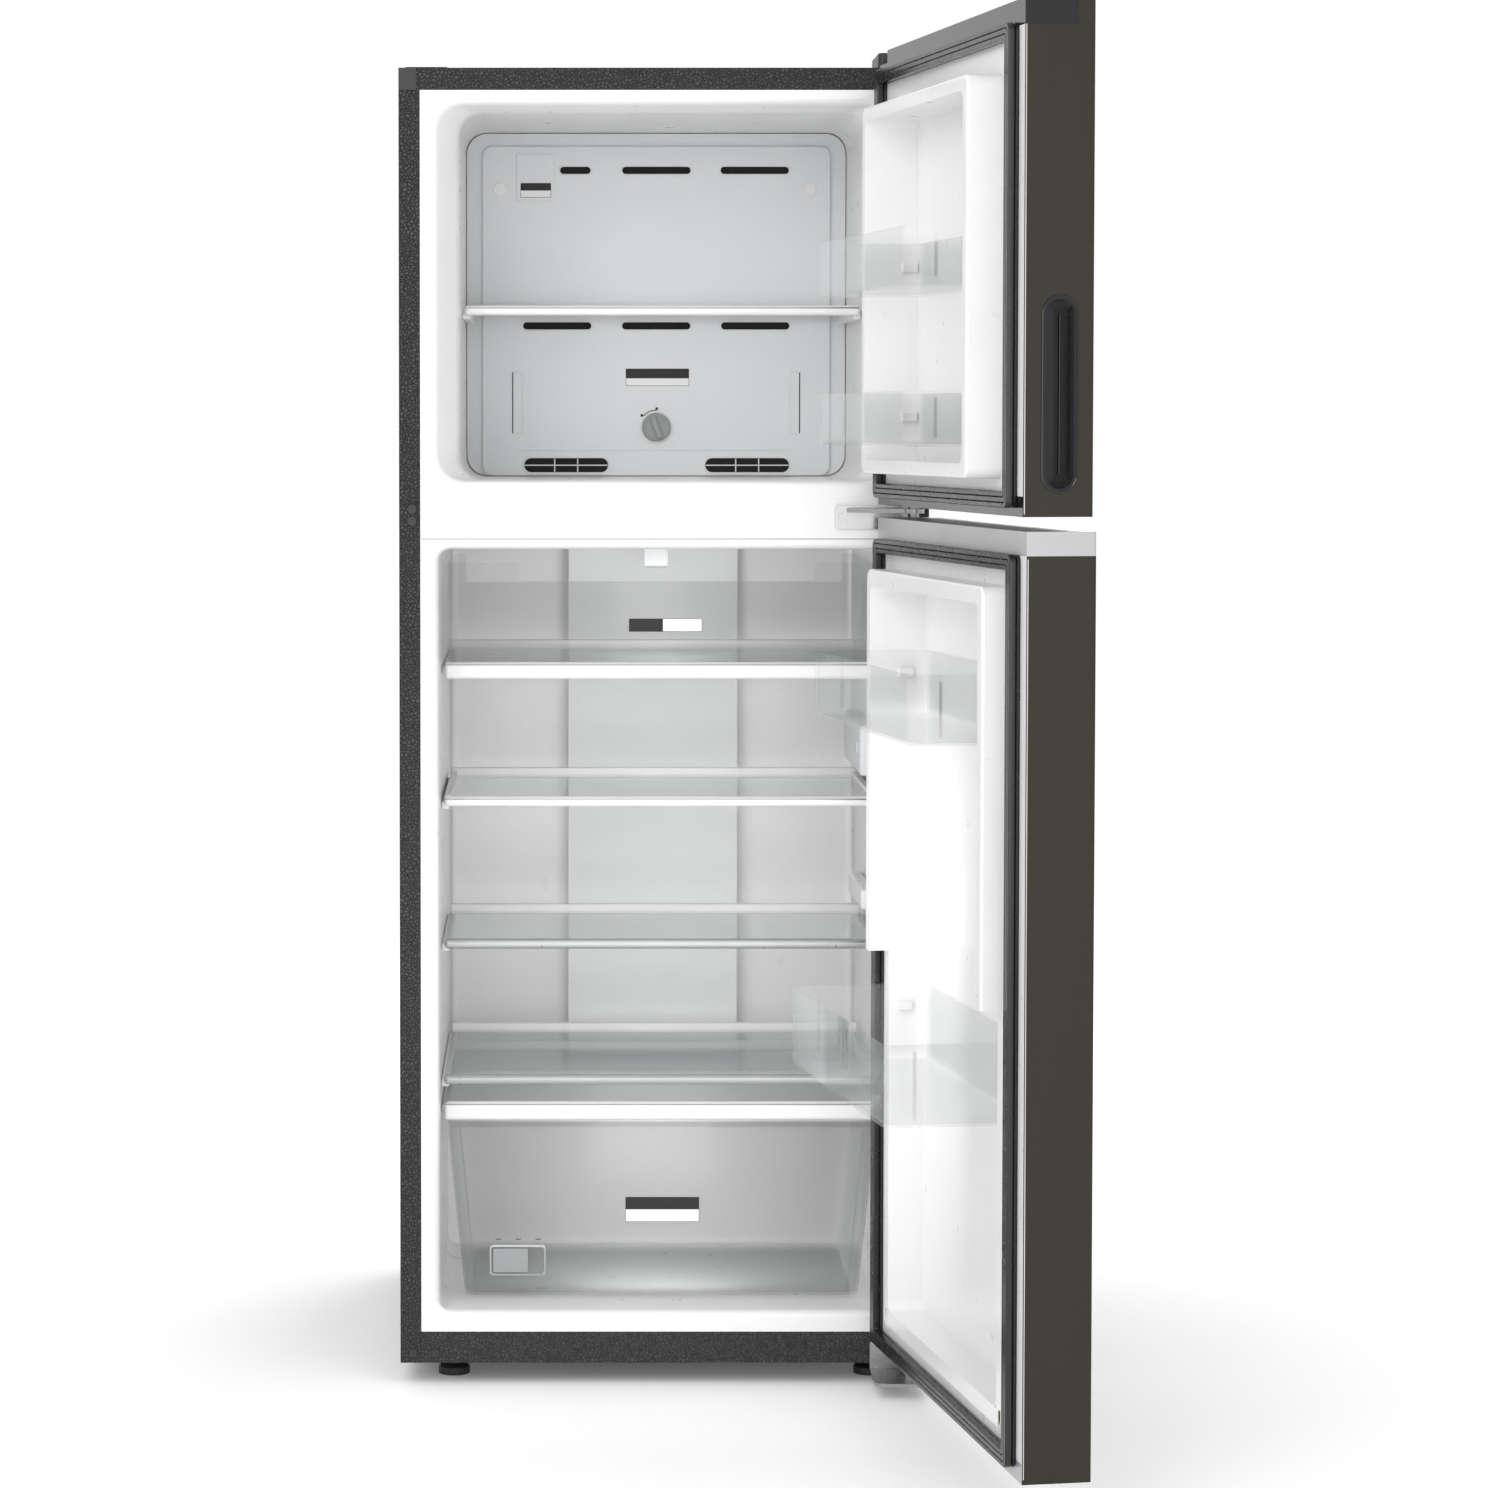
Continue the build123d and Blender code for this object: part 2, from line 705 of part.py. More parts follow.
# Hermetic compressor: domed steel shell on a flat mounting plate
with BuildPart() as compressor:
    with BuildSketch(Plane.XZ.offset(-compressor_y)):
        with Locations((compressor_x + 36, deck + 75)):
            Rectangle(72, 144)
        fillet(vertices().sort_by(Axis.X)[-2:], 34)
    revolve(axis=Axis((compressor_x, compressor_y, 0), (0, 0, 1)))
    block((compressor_x - 95, compressor_x + 95), (compressor_y - 66, compressor_y + 66), (deck, deck + 3))
finish(compressor, "compressor")

# Rubber grommets between the pan and the compressor's plate
with BuildPart() as compressor_grommets:
    with Locations((compressor_x, compressor_y, pan_top + grommet_height / 2)):
        with GridLocations(160, 110, 2, 2):
            Cylinder(11, grommet_height)
finish(compressor_grommets, "compressor_grommets")

# Copper circuit: discharge tube, the brazed-in filter drier and the return
with BuildPart() as refrigerant_pipes:
    with BuildLine() as run:
        FilletPolyline(
            (compressor_x + 72.5, compressor_y, 130),
            (60, compressor_y, 130),
            (60, compressor_y, 200),
            (170, compressor_y, 200),
            (170, compressor_y, 60),
            (220, compressor_y, 60),
            radius=14,
        )
    with BuildSketch(Plane(origin=run.line @ 0, z_dir=run.line % 0)):
        Circle(3.5)
    sweep()
    with Locations((170, compressor_y, 130)):
        Cylinder(10, 70)
finish(refrigerant_pipes, "refrigerant_pipes")

# Drain pan for defrost water, sitting on the compressor's top
with BuildPart() as drain_pan:
    pan_low = deck + 147.2
    block(
        (compressor_x - 80, compressor_x + 80),
        (compressor_y - 65, compressor_y + 65),
        (pan_low, pan_low + 24),
    )
    fillet(edges().filter_by(Axis.Z), 12)
    offset(amount=-2, openings=faces().sort_by(Axis.Z)[-1])
finish(drain_pan, "drain_pan")

gland_x = -210.0
gland_z = underside + 45
gland_radius = 10.0

# Louvred steel cover over the machine compartment
with BuildPart() as machine_cover:
    block((-half_width + 48, half_width - 48), (back_face - 2, back_face), (pan_top + 4, machine_top - 2))
    with BuildSketch(Plane.XZ.offset(-back_face)):
        with Locations((40, (pan_top + machine_top) / 2)):
            with GridLocations(70, 18, 4, 8):
                SlotOverall(54, 7)
        with Locations((gland_x, gland_z)):
            Circle(gland_radius)
    extrude(amount=2, mode=Mode.SUBTRACT)
finish(machine_cover, "machine_cover")

# Gland where the mains cord enters the machine compartment
with BuildPart() as cord_gland:
    with Locations(Location((gland_x, back_face - 5, gland_z), (90, 0, 0))):
        Cylinder(gland_radius - running_gap, 10)
    with Locations(Location((gland_x, back_face - 2, gland_z), (90, 0, 0))):
        Cylinder(4, 6, mode=Mode.SUBTRACT)
finish(cord_gland, "cord_gland")

# ---------------------------------------------------------------------------
# Feet and rollers
# ---------------------------------------------------------------------------
for side, name in ((-1, "left"), (1, "right")):
    # Levelling foot: round pad on a threaded stud
    with BuildPart() as foot:
        with Locations((side * foot_x, foot_y, 5)):
            Cylinder(foot_radius, 10)
        chamfer(faces().sort_by(Axis.Z)[-1].edges(), 2)
        with Locations((side * foot_x, foot_y, pan_top / 2)):
            Cylinder(stud_radius, pan_top)
    finish(foot, f"{name}_foot")

    # Roller between the pan's forks
    with BuildPart() as roller:
        with Locations(Location((side * foot_x, roller_y, roller_radius), (0, 90, 0))):
            Cylinder(roller_radius, roller_width)
        fillet(edges().filter_by(GeomType.CIRCLE), 1)
        with Locations(Location((side * foot_x, roller_y, roller_radius), (0, 90, 0))):
            Cylinder(axle_radius + running_gap, 2 * roller_width, mode=Mode.SUBTRACT)
    finish(roller, f"{name}_roller")

# ---------------------------------------------------------------------------
# Doors, laid out closed and moved by their own home locations
# ---------------------------------------------------------------------------
end_cap = 20.0
hole_depth = pin_length + 3.5
skin_half = door_half - steel
notch_x = (hinge_x - arm_half - 5, door_half + 1)
notch_y = (door_outer + 8, door_inner + 1)
notch_z = (cabinet_top - 1.1, freezer_door_high + 1)
pocket_low = freezer_door_low + pocket_rise
pocket_high = pocket_low + pocket_length
pocket_y = (door_inner - pocket_offset - pocket_width, door_inner - pocket_offset)
pocket_x = (-door_half, -door_half + pocket_depth)
pocket_wall = 2.0


def door_plane(y):
    """Plane facing the front at a given depth, for profiles across the door."""
    return Plane.XZ.offset(-y)


def door_skin(low, high):
    """Steel sheet folded over the door's face and both its sides."""
    with BuildPart() as skin:
        with BuildSketch(Plane.XY.offset(low)):
            with Locations((0, (door_outer + door_inner) / 2)):
                Rectangle(2 * door_half, door_thickness)
            fillet(vertices().group_by(Axis.Y)[0], skin_corner)
            offset(amount=-steel, kind=Kind.INTERSECTION, mode=Mode.SUBTRACT)
            with Locations((0, door_inner)):
                Rectangle(2 * skin_half, 2 * steel, mode=Mode.SUBTRACT)
        extrude(amount=high - low)
    return skin.part


def trim_to_skin():
    """Take off the front corners, so that the part being built clears the skin's rounded folds."""
    front = edges().filter_by(Axis.Z).group_by(Axis.Y)[0]
    chamfer(front.filter_by(lambda edge: abs(edge.center().X) > skin_half - 1), skin_corner - steel)


def door_liner(flange_z, dyke_half, dyke_z, recess_half, recess_z, dyke_height, recess):
    """White inner liner: flange, raised dyke around the edge and sunk pan inside it."""
    with BuildPart() as liner:
        with BuildSketch(door_plane(door_inner - plastic)):
            with Locations((0, sum(dyke_z) / 2)):
                RectangleRounded(2 * dyke_half, dyke_z[1] - dyke_z[0], dyke_corner)
        extrude(amount=-(dyke_height + plastic))
        fillet(faces().sort_by(Axis.Y)[-1].edges(), 3)
        block((-skin_half, skin_half), (door_inner - plastic, door_inner), flange_z)
        with BuildSketch(door_plane(door_inner - recess - plastic)):
            with Locations((0, sum(recess_z) / 2)):
                RectangleRounded(
                    2 * (recess_half + plastic),
                    recess_z[1] - recess_z[0] + 2 * plastic,
                    dyke_corner + plastic,
                )
        extrude(amount=-(recess + plastic))
        with BuildSketch(door_plane(door_inner - recess)):
            with Locations((0, sum(recess_z) / 2)):
                RectangleRounded(2 * recess_half, recess_z[1] - recess_z[0], dyke_corner)
        extrude(amount=-(recess + dyke_height + 1), mode=Mode.SUBTRACT)
        with BuildSketch(door_plane(door_inner - plastic)):
            with Locations((0, sum(dyke_z) / 2)):
                RectangleRounded(
                    2 * (dyke_half - plastic), dyke_z[1] - dyke_z[0] - 2 * plastic, dyke_corner - plastic
                )
            with Locations((0, sum(recess_z) / 2)):
                RectangleRounded(
                    2 * (recess_half + plastic),
                    recess_z[1] - recess_z[0] + 2 * plastic,
                    dyke_corner + plastic,
                    mode=Mode.SUBTRACT,
                )
        extrude(amount=-dyke_height, mode=Mode.SUBTRACT)
    return liner.part


def door_gasket(low, high):
    """Magnetic gasket: a hollow-fronted rubber frame on the door's inner face."""
    with BuildPart() as gasket:
        with BuildSketch(door_plane(door_inner)):
            with Locations((0, (low + high) / 2)):
                RectangleRounded(2 * (door_half - gasket_inset), high - low, 8)
                RectangleRounded(
                    2 * (door_half - gasket_inset - gasket_width),
                    high - low - 2 * gasket_width,
                    3,
                    mode=Mode.SUBTRACT,
                )
        extrude(amount=-gasket_height)
        with BuildSketch(door_plane(door_inner + gasket_height)):
            with Locations((0, (low + high) / 2)):
                RectangleRounded(2 * (door_half - gasket_inset - 6), high - low - 12, 6)
                RectangleRounded(
                    2 * (door_half - gasket_inset - 10), high - low - 20, 4, mode=Mode.SUBTRACT
                )
        extrude(amount=4, mode=Mode.SUBTRACT)
    return gasket


def bin_rests(recess_half, bin_tops):
    """Bosses on the liner's side walls that carry the bins' lugs."""
    for top in bin_tops:
        both_sides(
            (recess_half - lug, recess_half), (door_inner - 20, door_inner - 4), (top - 30, top - 20.3)
        )


freezer_skin_z = (freezer_door_low + end_cap, freezer_door_high - cap_height)
fridge_skin_z = (fridge_door_low + end_cap, fridge_door_high - fridge_cap_height)
freezer_dyke_half = door_half - freezer_dyke_inset
freezer_recess_half = freezer_dyke_half - freezer_dyke_width
freezer_dyke_z = (freezer_floor + 10, freezer_ceiling - 7)
freezer_recess_z = (freezer_dyke_z[0] + freezer_dyke_width, freezer_dyke_z[1] - freezer_dyke_width)
fridge_dyke_half = door_half - fridge_dyke_inset
fridge_recess_half = fridge_dyke_half - fridge_dyke_width
fridge_dyke_z = (fridge_floor + 8, fridge_ceiling - 18)
fridge_recess_z = (fridge_dyke_z[0] + fridge_dyke_width, fridge_dyke_z[1] - fridge_dyke_width)
dyke_end_z = fridge_floor + fridge_dyke_end - fridge_dyke_width

freezer_bins = (
    ("freezer_bin_upper", freezer_floor + 202, freezer_floor + 261),
    ("freezer_bin_lower", freezer_floor + 42, freezer_floor + 97),
)
fridge_bins = (
    ("fridge_bin_upper", fridge_floor + 691, fridge_floor + 763, 95.0),
    ("fridge_bin_lower", fridge_floor + 308, fridge_floor + 393, 120.0),
)

# Steel skin of the freezer door, cut for the top cap, the hinge arm and the handle pocket
with BuildPart() as freezer_door_skin:
    add(door_skin(freezer_door_low, freezer_door_high))
    cap_z = (freezer_door_high - cap_height, freezer_door_high + 1)
    block(
        (-door_half - 1, door_half + 1),
        (door_inner - cap_edge_depth, door_inner + 1),
        cap_z,
        mode=Mode.SUBTRACT,
    )
    block(notch_x, notch_y, notch_z, mode=Mode.SUBTRACT)
    with BuildSketch(Plane.YZ.offset(-door_half - 1)):
        with Locations((sum(pocket_y) / 2, (pocket_low + pocket_high) / 2)):
            SlotOverall(pocket_length, pocket_width, rotation=90)
    extrude(amount=3, mode=Mode.SUBTRACT)
finish(freezer_door_skin, "freezer_door_skin", freezer_home)

# Gloss black finger pocket set into the freezer door's free edge
with BuildPart() as handle_pocket:
    with BuildSketch(Plane.YZ.offset(-door_half)):
        with Locations((sum(pocket_y) / 2, (pocket_low + pocket_high) / 2)):
            SlotOverall(pocket_length - 0.4, pocket_width - 0.4, rotation=90)
    extrude(amount=pocket_depth)
    with BuildSketch(Plane.YZ.offset(-door_half)):
        with Locations((sum(pocket_y) / 2, (pocket_low + pocket_high) / 2)):
            SlotOverall(pocket_length - 2 * pocket_wall, pocket_width - 2 * pocket_wall, rotation=90)
    extrude(amount=pocket_depth - pocket_wall, mode=Mode.SUBTRACT)
finish(handle_pocket, "handle_pocket", freezer_home)

# Black plastic caps that close the freezer door's two ends
with BuildPart() as freezer_door_caps:
    top_z = (freezer_door_high - cap_height, freezer_door_high)
    block((-door_half, door_half), (door_inner - cap_edge_depth, door_inner), top_z)
    block((-skin_half, skin_half), (door_outer + steel, door_inner - cap_edge_depth), top_z)
    block(notch_x, notch_y, notch_z, mode=Mode.SUBTRACT)
    pin(cabinet_top - pin_length - 1, cabinet_top, mode=Mode.SUBTRACT, radius=pin_radius + running_gap)
    block(
        (-skin_half, skin_half),
        (door_outer + steel, door_inner),
        (freezer_door_low, freezer_door_low + end_cap),
    )
    trim_to_skin()
    pin(
        freezer_door_low,
        freezer_door_low + hole_depth,
        mode=Mode.SUBTRACT,
        radius=pin_radius + running_gap,
    )
finish(freezer_door_caps, "freezer_door_caps", freezer_home)

# White liner of the freezer door
with BuildPart() as freezer_door_liner:
    add(
        door_liner(
            freezer_skin_z,
            freezer_dyke_half,
            freezer_dyke_z,
            freezer_recess_half,
            freezer_recess_z,
            freezer_dyke_height,
            freezer_recess,
        )
    )
    bin_rests(freezer_recess_half, [high for name, low, high in freezer_bins])
finish(freezer_door_liner, "freezer_door_liner", freezer_home)


def door_foam_rims(skin_z, recess_half, recess_z, recess, left):
    """Foam behind the door liner's pan and around it, from the hinge side to left."""
    pan_y = door_inner - recess - plastic
    rim_y = (pan_y, door_inner - plastic)
    pan_half = recess_half + plastic
    foam_block((left, skin_half), (door_outer + steel, pan_y), skin_z)
    foam_block((left, -pan_half), rim_y, skin_z)
    foam_block((pan_half, skin_half), rim_y, skin_z)
    foam_block((-pan_half, pan_half), rim_y, (skin_z[0], recess_z[0] - plastic))
    foam_block((-pan_half, pan_half), rim_y, (recess_z[1] + plastic, skin_z[1]))


# Foam of the freezer door, in blocks around the handle pocket and inside the dyke
with BuildPart() as freezer_door_foam:
    column = (-skin_half, pocket_x[1] + pocket_wall)
    door_foam_rims(freezer_skin_z, freezer_recess_half, freezer_recess_z, freezer_recess, column[1])
    foam_block(
        column,
        (door_outer + steel, door_inner - plastic),
        (pocket_high + pocket_wall, freezer_skin_z[1]),
    )
    foam_block(
        column,
        (door_outer + steel, pocket_y[0] - pocket_wall),
        (freezer_skin_z[0], pocket_high + pocket_wall),
    )
    foam_block(
        column,
        (pocket_y[1] + pocket_wall, door_inner - plastic),
        (freezer_skin_z[0], pocket_high + pocket_wall),
    )
    dyke_y = (door_inner - plastic, door_inner + freezer_dyke_height - plastic - 3)
    dyke_x = (freezer_recess_half + plastic, freezer_dyke_half - plastic)
    upright = (freezer_recess_z[0], freezer_recess_z[1])
    foam_block(dyke_x, dyke_y, upright)
    foam_block((-dyke_x[1], -dyke_x[0]), dyke_y, upright)
    level = freezer_recess_half - dyke_corner
    foam_block((-level, level), dyke_y, (freezer_dyke_z[0] + plastic, freezer_recess_z[0] - plastic))
    foam_block((-level, level), dyke_y, (freezer_recess_z[1] + plastic, freezer_dyke_z[1] - plastic))
    trim_to_skin()
finish(freezer_door_foam, "freezer_door_foam", freezer_home)

# Black magnetic gasket of the freezer door
freezer_door_gasket = door_gasket(freezer_door_low + 8.4, freezer_door_high - 22)
finish(freezer_door_gasket, "freezer_door_gasket", freezer_home)

# Steel skin of the fridge door
with BuildPart() as fridge_door_skin:
    add(door_skin(fridge_door_low, fridge_skin_z[1]))
finish(fridge_door_skin, "fridge_door_skin", fridge_home)

# Silver trim cap on the fridge door's top and the plain cap in its bottom
with BuildPart() as fridge_door_caps:
    block((-skin_half, skin_half), (door_outer + steel, door_inner), (fridge_door_low, fridge_skin_z[0]))
    trim_to_skin()
    with BuildSketch(Plane.XY.offset(fridge_skin_z[1])):
        with Locations((0, (door_outer + door_inner) / 2)):
            Rectangle(2 * door_half, door_thickness)
        fillet(vertices().group_by(Axis.Y)[0], skin_corner)
    extrude(amount=fridge_cap_height)
    pin(
        fridge_door_high - hole_depth,
        fridge_door_high,
        mode=Mode.SUBTRACT,
        radius=pin_radius + running_gap,
    )
    pin(
        fridge_door_low,
        fridge_door_low + hole_depth + 2,
        mode=Mode.SUBTRACT,
        radius=pin_radius + running_gap,
    )
finish(fridge_door_caps, "fridge_door_caps", fridge_home)

# White liner of the fridge door: high dyke on the upper part, low rim below it
with BuildPart() as fridge_door_liner:
    add(
        door_liner(
            fridge_skin_z,
            fridge_dyke_half,
            fridge_dyke_z,
            fridge_recess_half,
            fridge_recess_z,
            fridge_dyke_height,
            fridge_recess,
        )
    )
    block(
        (-fridge_dyke_half - 1, fridge_dyke_half + 1),
        (door_inner + low_dyke_height, door_inner + fridge_dyke_height + 1),
        (fridge_dyke_z[0] - 1, dyke_end_z),
        mode=Mode.SUBTRACT,
    )
    both_sides(
        (fridge_recess_half, fridge_dyke_half),
        (door_inner + low_dyke_height - plastic, door_inner + low_dyke_height),
        (fridge_recess_z[0], dyke_end_z),
    )
    block(
        (-fridge_dyke_half + dyke_corner, fridge_dyke_half - dyke_corner),
        (door_inner + low_dyke_height - plastic, door_inner + low_dyke_height),
        (fridge_dyke_z[0], fridge_recess_z[0]),
    )
    both_sides(
        (fridge_recess_half, fridge_dyke_half),
        (door_inner + low_dyke_height - plastic, door_inner + fridge_dyke_height - 3),
        (dyke_end_z, dyke_end_z + plastic),
    )
    bin_rests(fridge_recess_half, [high for name, low, high, reach in fridge_bins])
finish(fridge_door_liner, "fridge_door_liner", fridge_home)

# Foam of the fridge door, with blocks inside the high dyke
with BuildPart() as fridge_door_foam:
    door_foam_rims(fridge_skin_z, fridge_recess_half, fridge_recess_z, fridge_recess, -skin_half)
    dyke_y = (door_inner - plastic, door_inner + fridge_dyke_height - plastic - 3)
    dyke_x = (fridge_recess_half + plastic, fridge_dyke_half - plastic)
    upright = (dyke_end_z + plastic, fridge_recess_z[1])
    foam_block(dyke_x, dyke_y, upright)
    foam_block((-dyke_x[1], -dyke_x[0]), dyke_y, upright)
    level = fridge_recess_half - dyke_corner
    foam_block((-level, level), dyke_y, (fridge_recess_z[1] + plastic, fridge_dyke_z[1] - plastic))
    trim_to_skin()
finish(fridge_door_foam, "fridge_door_foam", fridge_home)

# Black magnetic gasket of the fridge door
fridge_door_gasket = door_gasket(fridge_door_low + 11, fridge_skin_z[1] + 1)
finish(fridge_door_gasket, "fridge_door_gasket", fridge_home)

# ---------------------------------------------------------------------------
# Door bins
# ---------------------------------------------------------------------------


def door_bin(half, low, high, reach, recess):
    """Clear moulded bin with a lug on each end that hangs on the liner."""
    with BuildPart() as tray:
        block((-half, half), (door_inner - recess + 1, door_inner + reach), (low, high))
        fillet(edges().filter_by(Axis.Z).group_by(Axis.Y)[-1], bin_corner)
        fillet(edges().filter_by(Axis.Z).group_by(Axis.Y)[0], 5)
        fillet(faces().sort_by(Axis.Z)[0].edges(), 4)
        offset(amount=-clear_wall, openings=faces().sort_by(Axis.Z)[-1])
        both_sides(
            (half - clear_wall / 2, half + bin_clearance - 0.5),
            (door_inner - 20, door_inner - 4),
            (high - 20, high - 14),
        )
    return tray


for name, low, high in freezer_bins:
    finish(
        door_bin(freezer_recess_half - bin_clearance, low, high, 95.0, freezer_recess),
        name,
        freezer_home,
    )
for name, low, high, reach in fridge_bins:
    finish(door_bin(fridge_recess_half - bin_clearance, low, high, reach, fridge_recess), name, fridge_home)

# Bottle retainer: a clip that straddles the lower bin's front wall and slides along it
with BuildPart() as bottle_retainer:
    clip_x = (-46.0, -22.0)
    bin_top = fridge_bins[1][2]
    wall_front = door_inner + fridge_bins[1][3]
    block(clip_x, (wall_front - clear_wall - 1.9, wall_front + 1.9), (bin_top - 52, bin_top + 2))
    block(
        (clip_x[0] - 1, clip_x[1] + 1),
        (wall_front - clear_wall - 0.4, wall_front + 0.4),
        (bin_top - 53, bin_top + 0.5),
        mode=Mode.SUBTRACT,
    )
finish(bottle_retainer, "bottle_retainer", fridge_home)

# ---------------------------------------------------------------------------
# Shelves and drawers
# ---------------------------------------------------------------------------


def shelf(half, top, front, back, drop):
    """Glass plate held in the grooves of a front and a back trim."""
    with BuildPart() as plate_and_trims:
        groove = ((-half - 1, half + 1), (front + 6, back - 6), (top - glass - hairline, top + hairline))
        block((-half, half), (front, front + shelf_trim_depth), (top - glass - drop, top + 1.5))
        block((-half, half), (back - shelf_trim_depth, back), (top - glass - 2 * hairline, top + 8))
        block(*groove, mode=Mode.SUBTRACT)
        block((-half, half), (front + 6 + hairline, back - 6 - hairline), (top - glass, top))
    return plate_and_trims


finish(
    shelf(
        freezer_half - shelf_clearance + 1,
        freezer_shelf_top,
        freezer_shelf_front,
        freezer_shelf_back,
        trim_drop,
    ),
    "freezer_shelf",
)
for name, top, front, back in fridge_shelves:
    finish(shelf(shelf_space, top, front, back, trim_drop), name)
finish(shelf(shelf_space, chiller_top, chiller_front, chiller_back, 14.0), "chiller_shelf")
finish(shelf(shelf_space, crisper_lid_top, crisper_front - 4, 470.0, 16.0), "crisper_cover")

drawer_half = fridge_half - drawer_clearance
drawer_wall = 2.5
chiller_low = chiller_top + 1.8
chiller_y = (chiller_front + 7, chiller_back - 20)
chiller_rim = fridge_ceiling - 19

# Clear chiller drawer, with a dipped front edge and a low back
with BuildPart() as chiller_drawer:
    block((-drawer_half, drawer_half), chiller_y, (chiller_low, chiller_rim))
    fillet(edges().filter_by(Axis.Z), 8)
    fillet(faces().sort_by(Axis.Z)[0].edges(), 4)
    offset(amount=-drawer_wall, openings=faces().sort_by(Axis.Z)[-1])
    with BuildSketch(Plane.XZ.offset(-chiller_y[0] + 1)):
        with Locations((6, chiller_rim)):
            RectangleRounded(343, 42, 6)
    extrude(amount=-12, mode=Mode.SUBTRACT)
    block(
        (-drawer_half + 14, drawer_half - 14),
        (chiller_y[1] - 6, chiller_y[1] + 1),
        (chiller_rim - 36, chiller_rim + 1),
        mode=Mode.SUBTRACT,
    )
finish(chiller_drawer, "chiller_drawer")

crisper_low = fridge_floor + 3
crisper_high = crisper_lid_top - glass - 17
crisper_y = (crisper_front, step_front - 11)
frame_x = (-199.0, -133.0)
frame_z = (crisper_low + 25, crisper_low + 61)
frame_rim = 4.0
frame_height = 2.5

# Clear crisper drawer with the raised frame of the humidity slider on its front
with BuildPart() as crisper_drawer:
    block((-drawer_half, drawer_half), crisper_y, (crisper_low, crisper_high))
    fillet(edges().filter_by(Axis.Z), 8)
    fillet(faces().sort_by(Axis.Z)[0].edges(), 6)
    offset(amount=-drawer_wall, openings=faces().sort_by(Axis.Z)[-1])
    block(frame_x, (crisper_front - frame_height, crisper_front + 1), frame_z)
    block(
        (frame_x[0] + frame_rim, frame_x[1] - frame_rim),
        (crisper_front - frame_height, crisper_front),
        (frame_z[0] + frame_rim, frame_z[1] - frame_rim),
        mode=Mode.SUBTRACT,
    )
finish(crisper_drawer, "crisper_drawer")

# Humidity slider in the crisper drawer's frame
with BuildPart() as humidity_slider:
    slider_x = (frame_x[0] + frame_rim + 0.3, frame_x[0] + frame_rim + 40.3)
    block(
        slider_x,
        (crisper_front - frame_height - 0.5, crisper_front - 0.3),
        (frame_z[0] + frame_rim + 0.3, frame_z[1] - frame_rim - 0.3),
    )
    fillet(edges().filter_by(Axis.Y), 1)
finish(humidity_slider, "humidity_slider")
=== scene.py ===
import json
import math

import bmesh
import bpy
from mathutils import Matrix, Vector


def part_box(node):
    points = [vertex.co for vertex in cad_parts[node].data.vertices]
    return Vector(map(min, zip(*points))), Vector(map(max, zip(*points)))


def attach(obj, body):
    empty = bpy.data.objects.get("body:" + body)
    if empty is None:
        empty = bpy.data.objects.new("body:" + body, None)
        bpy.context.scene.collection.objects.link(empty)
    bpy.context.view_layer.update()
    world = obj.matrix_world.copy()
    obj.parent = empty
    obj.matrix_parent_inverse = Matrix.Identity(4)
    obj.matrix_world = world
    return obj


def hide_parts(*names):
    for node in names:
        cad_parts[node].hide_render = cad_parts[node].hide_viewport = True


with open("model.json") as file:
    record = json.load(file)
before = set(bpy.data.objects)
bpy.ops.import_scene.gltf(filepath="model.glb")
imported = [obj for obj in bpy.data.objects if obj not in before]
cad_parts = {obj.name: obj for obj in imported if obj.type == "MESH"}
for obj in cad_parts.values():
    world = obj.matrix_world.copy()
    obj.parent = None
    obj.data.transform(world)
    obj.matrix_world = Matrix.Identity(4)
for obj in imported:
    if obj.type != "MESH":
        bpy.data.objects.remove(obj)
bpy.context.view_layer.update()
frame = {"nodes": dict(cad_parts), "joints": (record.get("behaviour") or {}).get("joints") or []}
MM = 0.001

# ---------------------------------------------------------------------------
# Cabinet wrapper: cold-rolled steel sheet, pre-painted black with a leather grain
# rolled into it, folded over both sides and the top in one piece.


class Socket:
    """An output of a shader node. A sum with it adds the Math node that works it out."""

    def __init__(self, finish, link):
        self.finish = finish
        self.link = link

    def sum(self, operation, first, second):
        return self.finish.node("ShaderNodeMath", {"operation": operation}, {0: first, 1: second})

    def __add__(self, other):
        return self.sum("ADD", self, other)

    def __radd__(self, other):
        return self.sum("ADD", other, self)

    def __sub__(self, other):
        return self.sum("SUBTRACT", self, other)

    def __rsub__(self, other):
        return self.sum("SUBTRACT", other, self)

    def __mul__(self, other):
        return self.sum("MULTIPLY", self, other)

    def __rmul__(self, other):
        return self.sum("MULTIPLY", other, self)

    def __pow__(self, other):
        return self.sum("POWER", self, other)


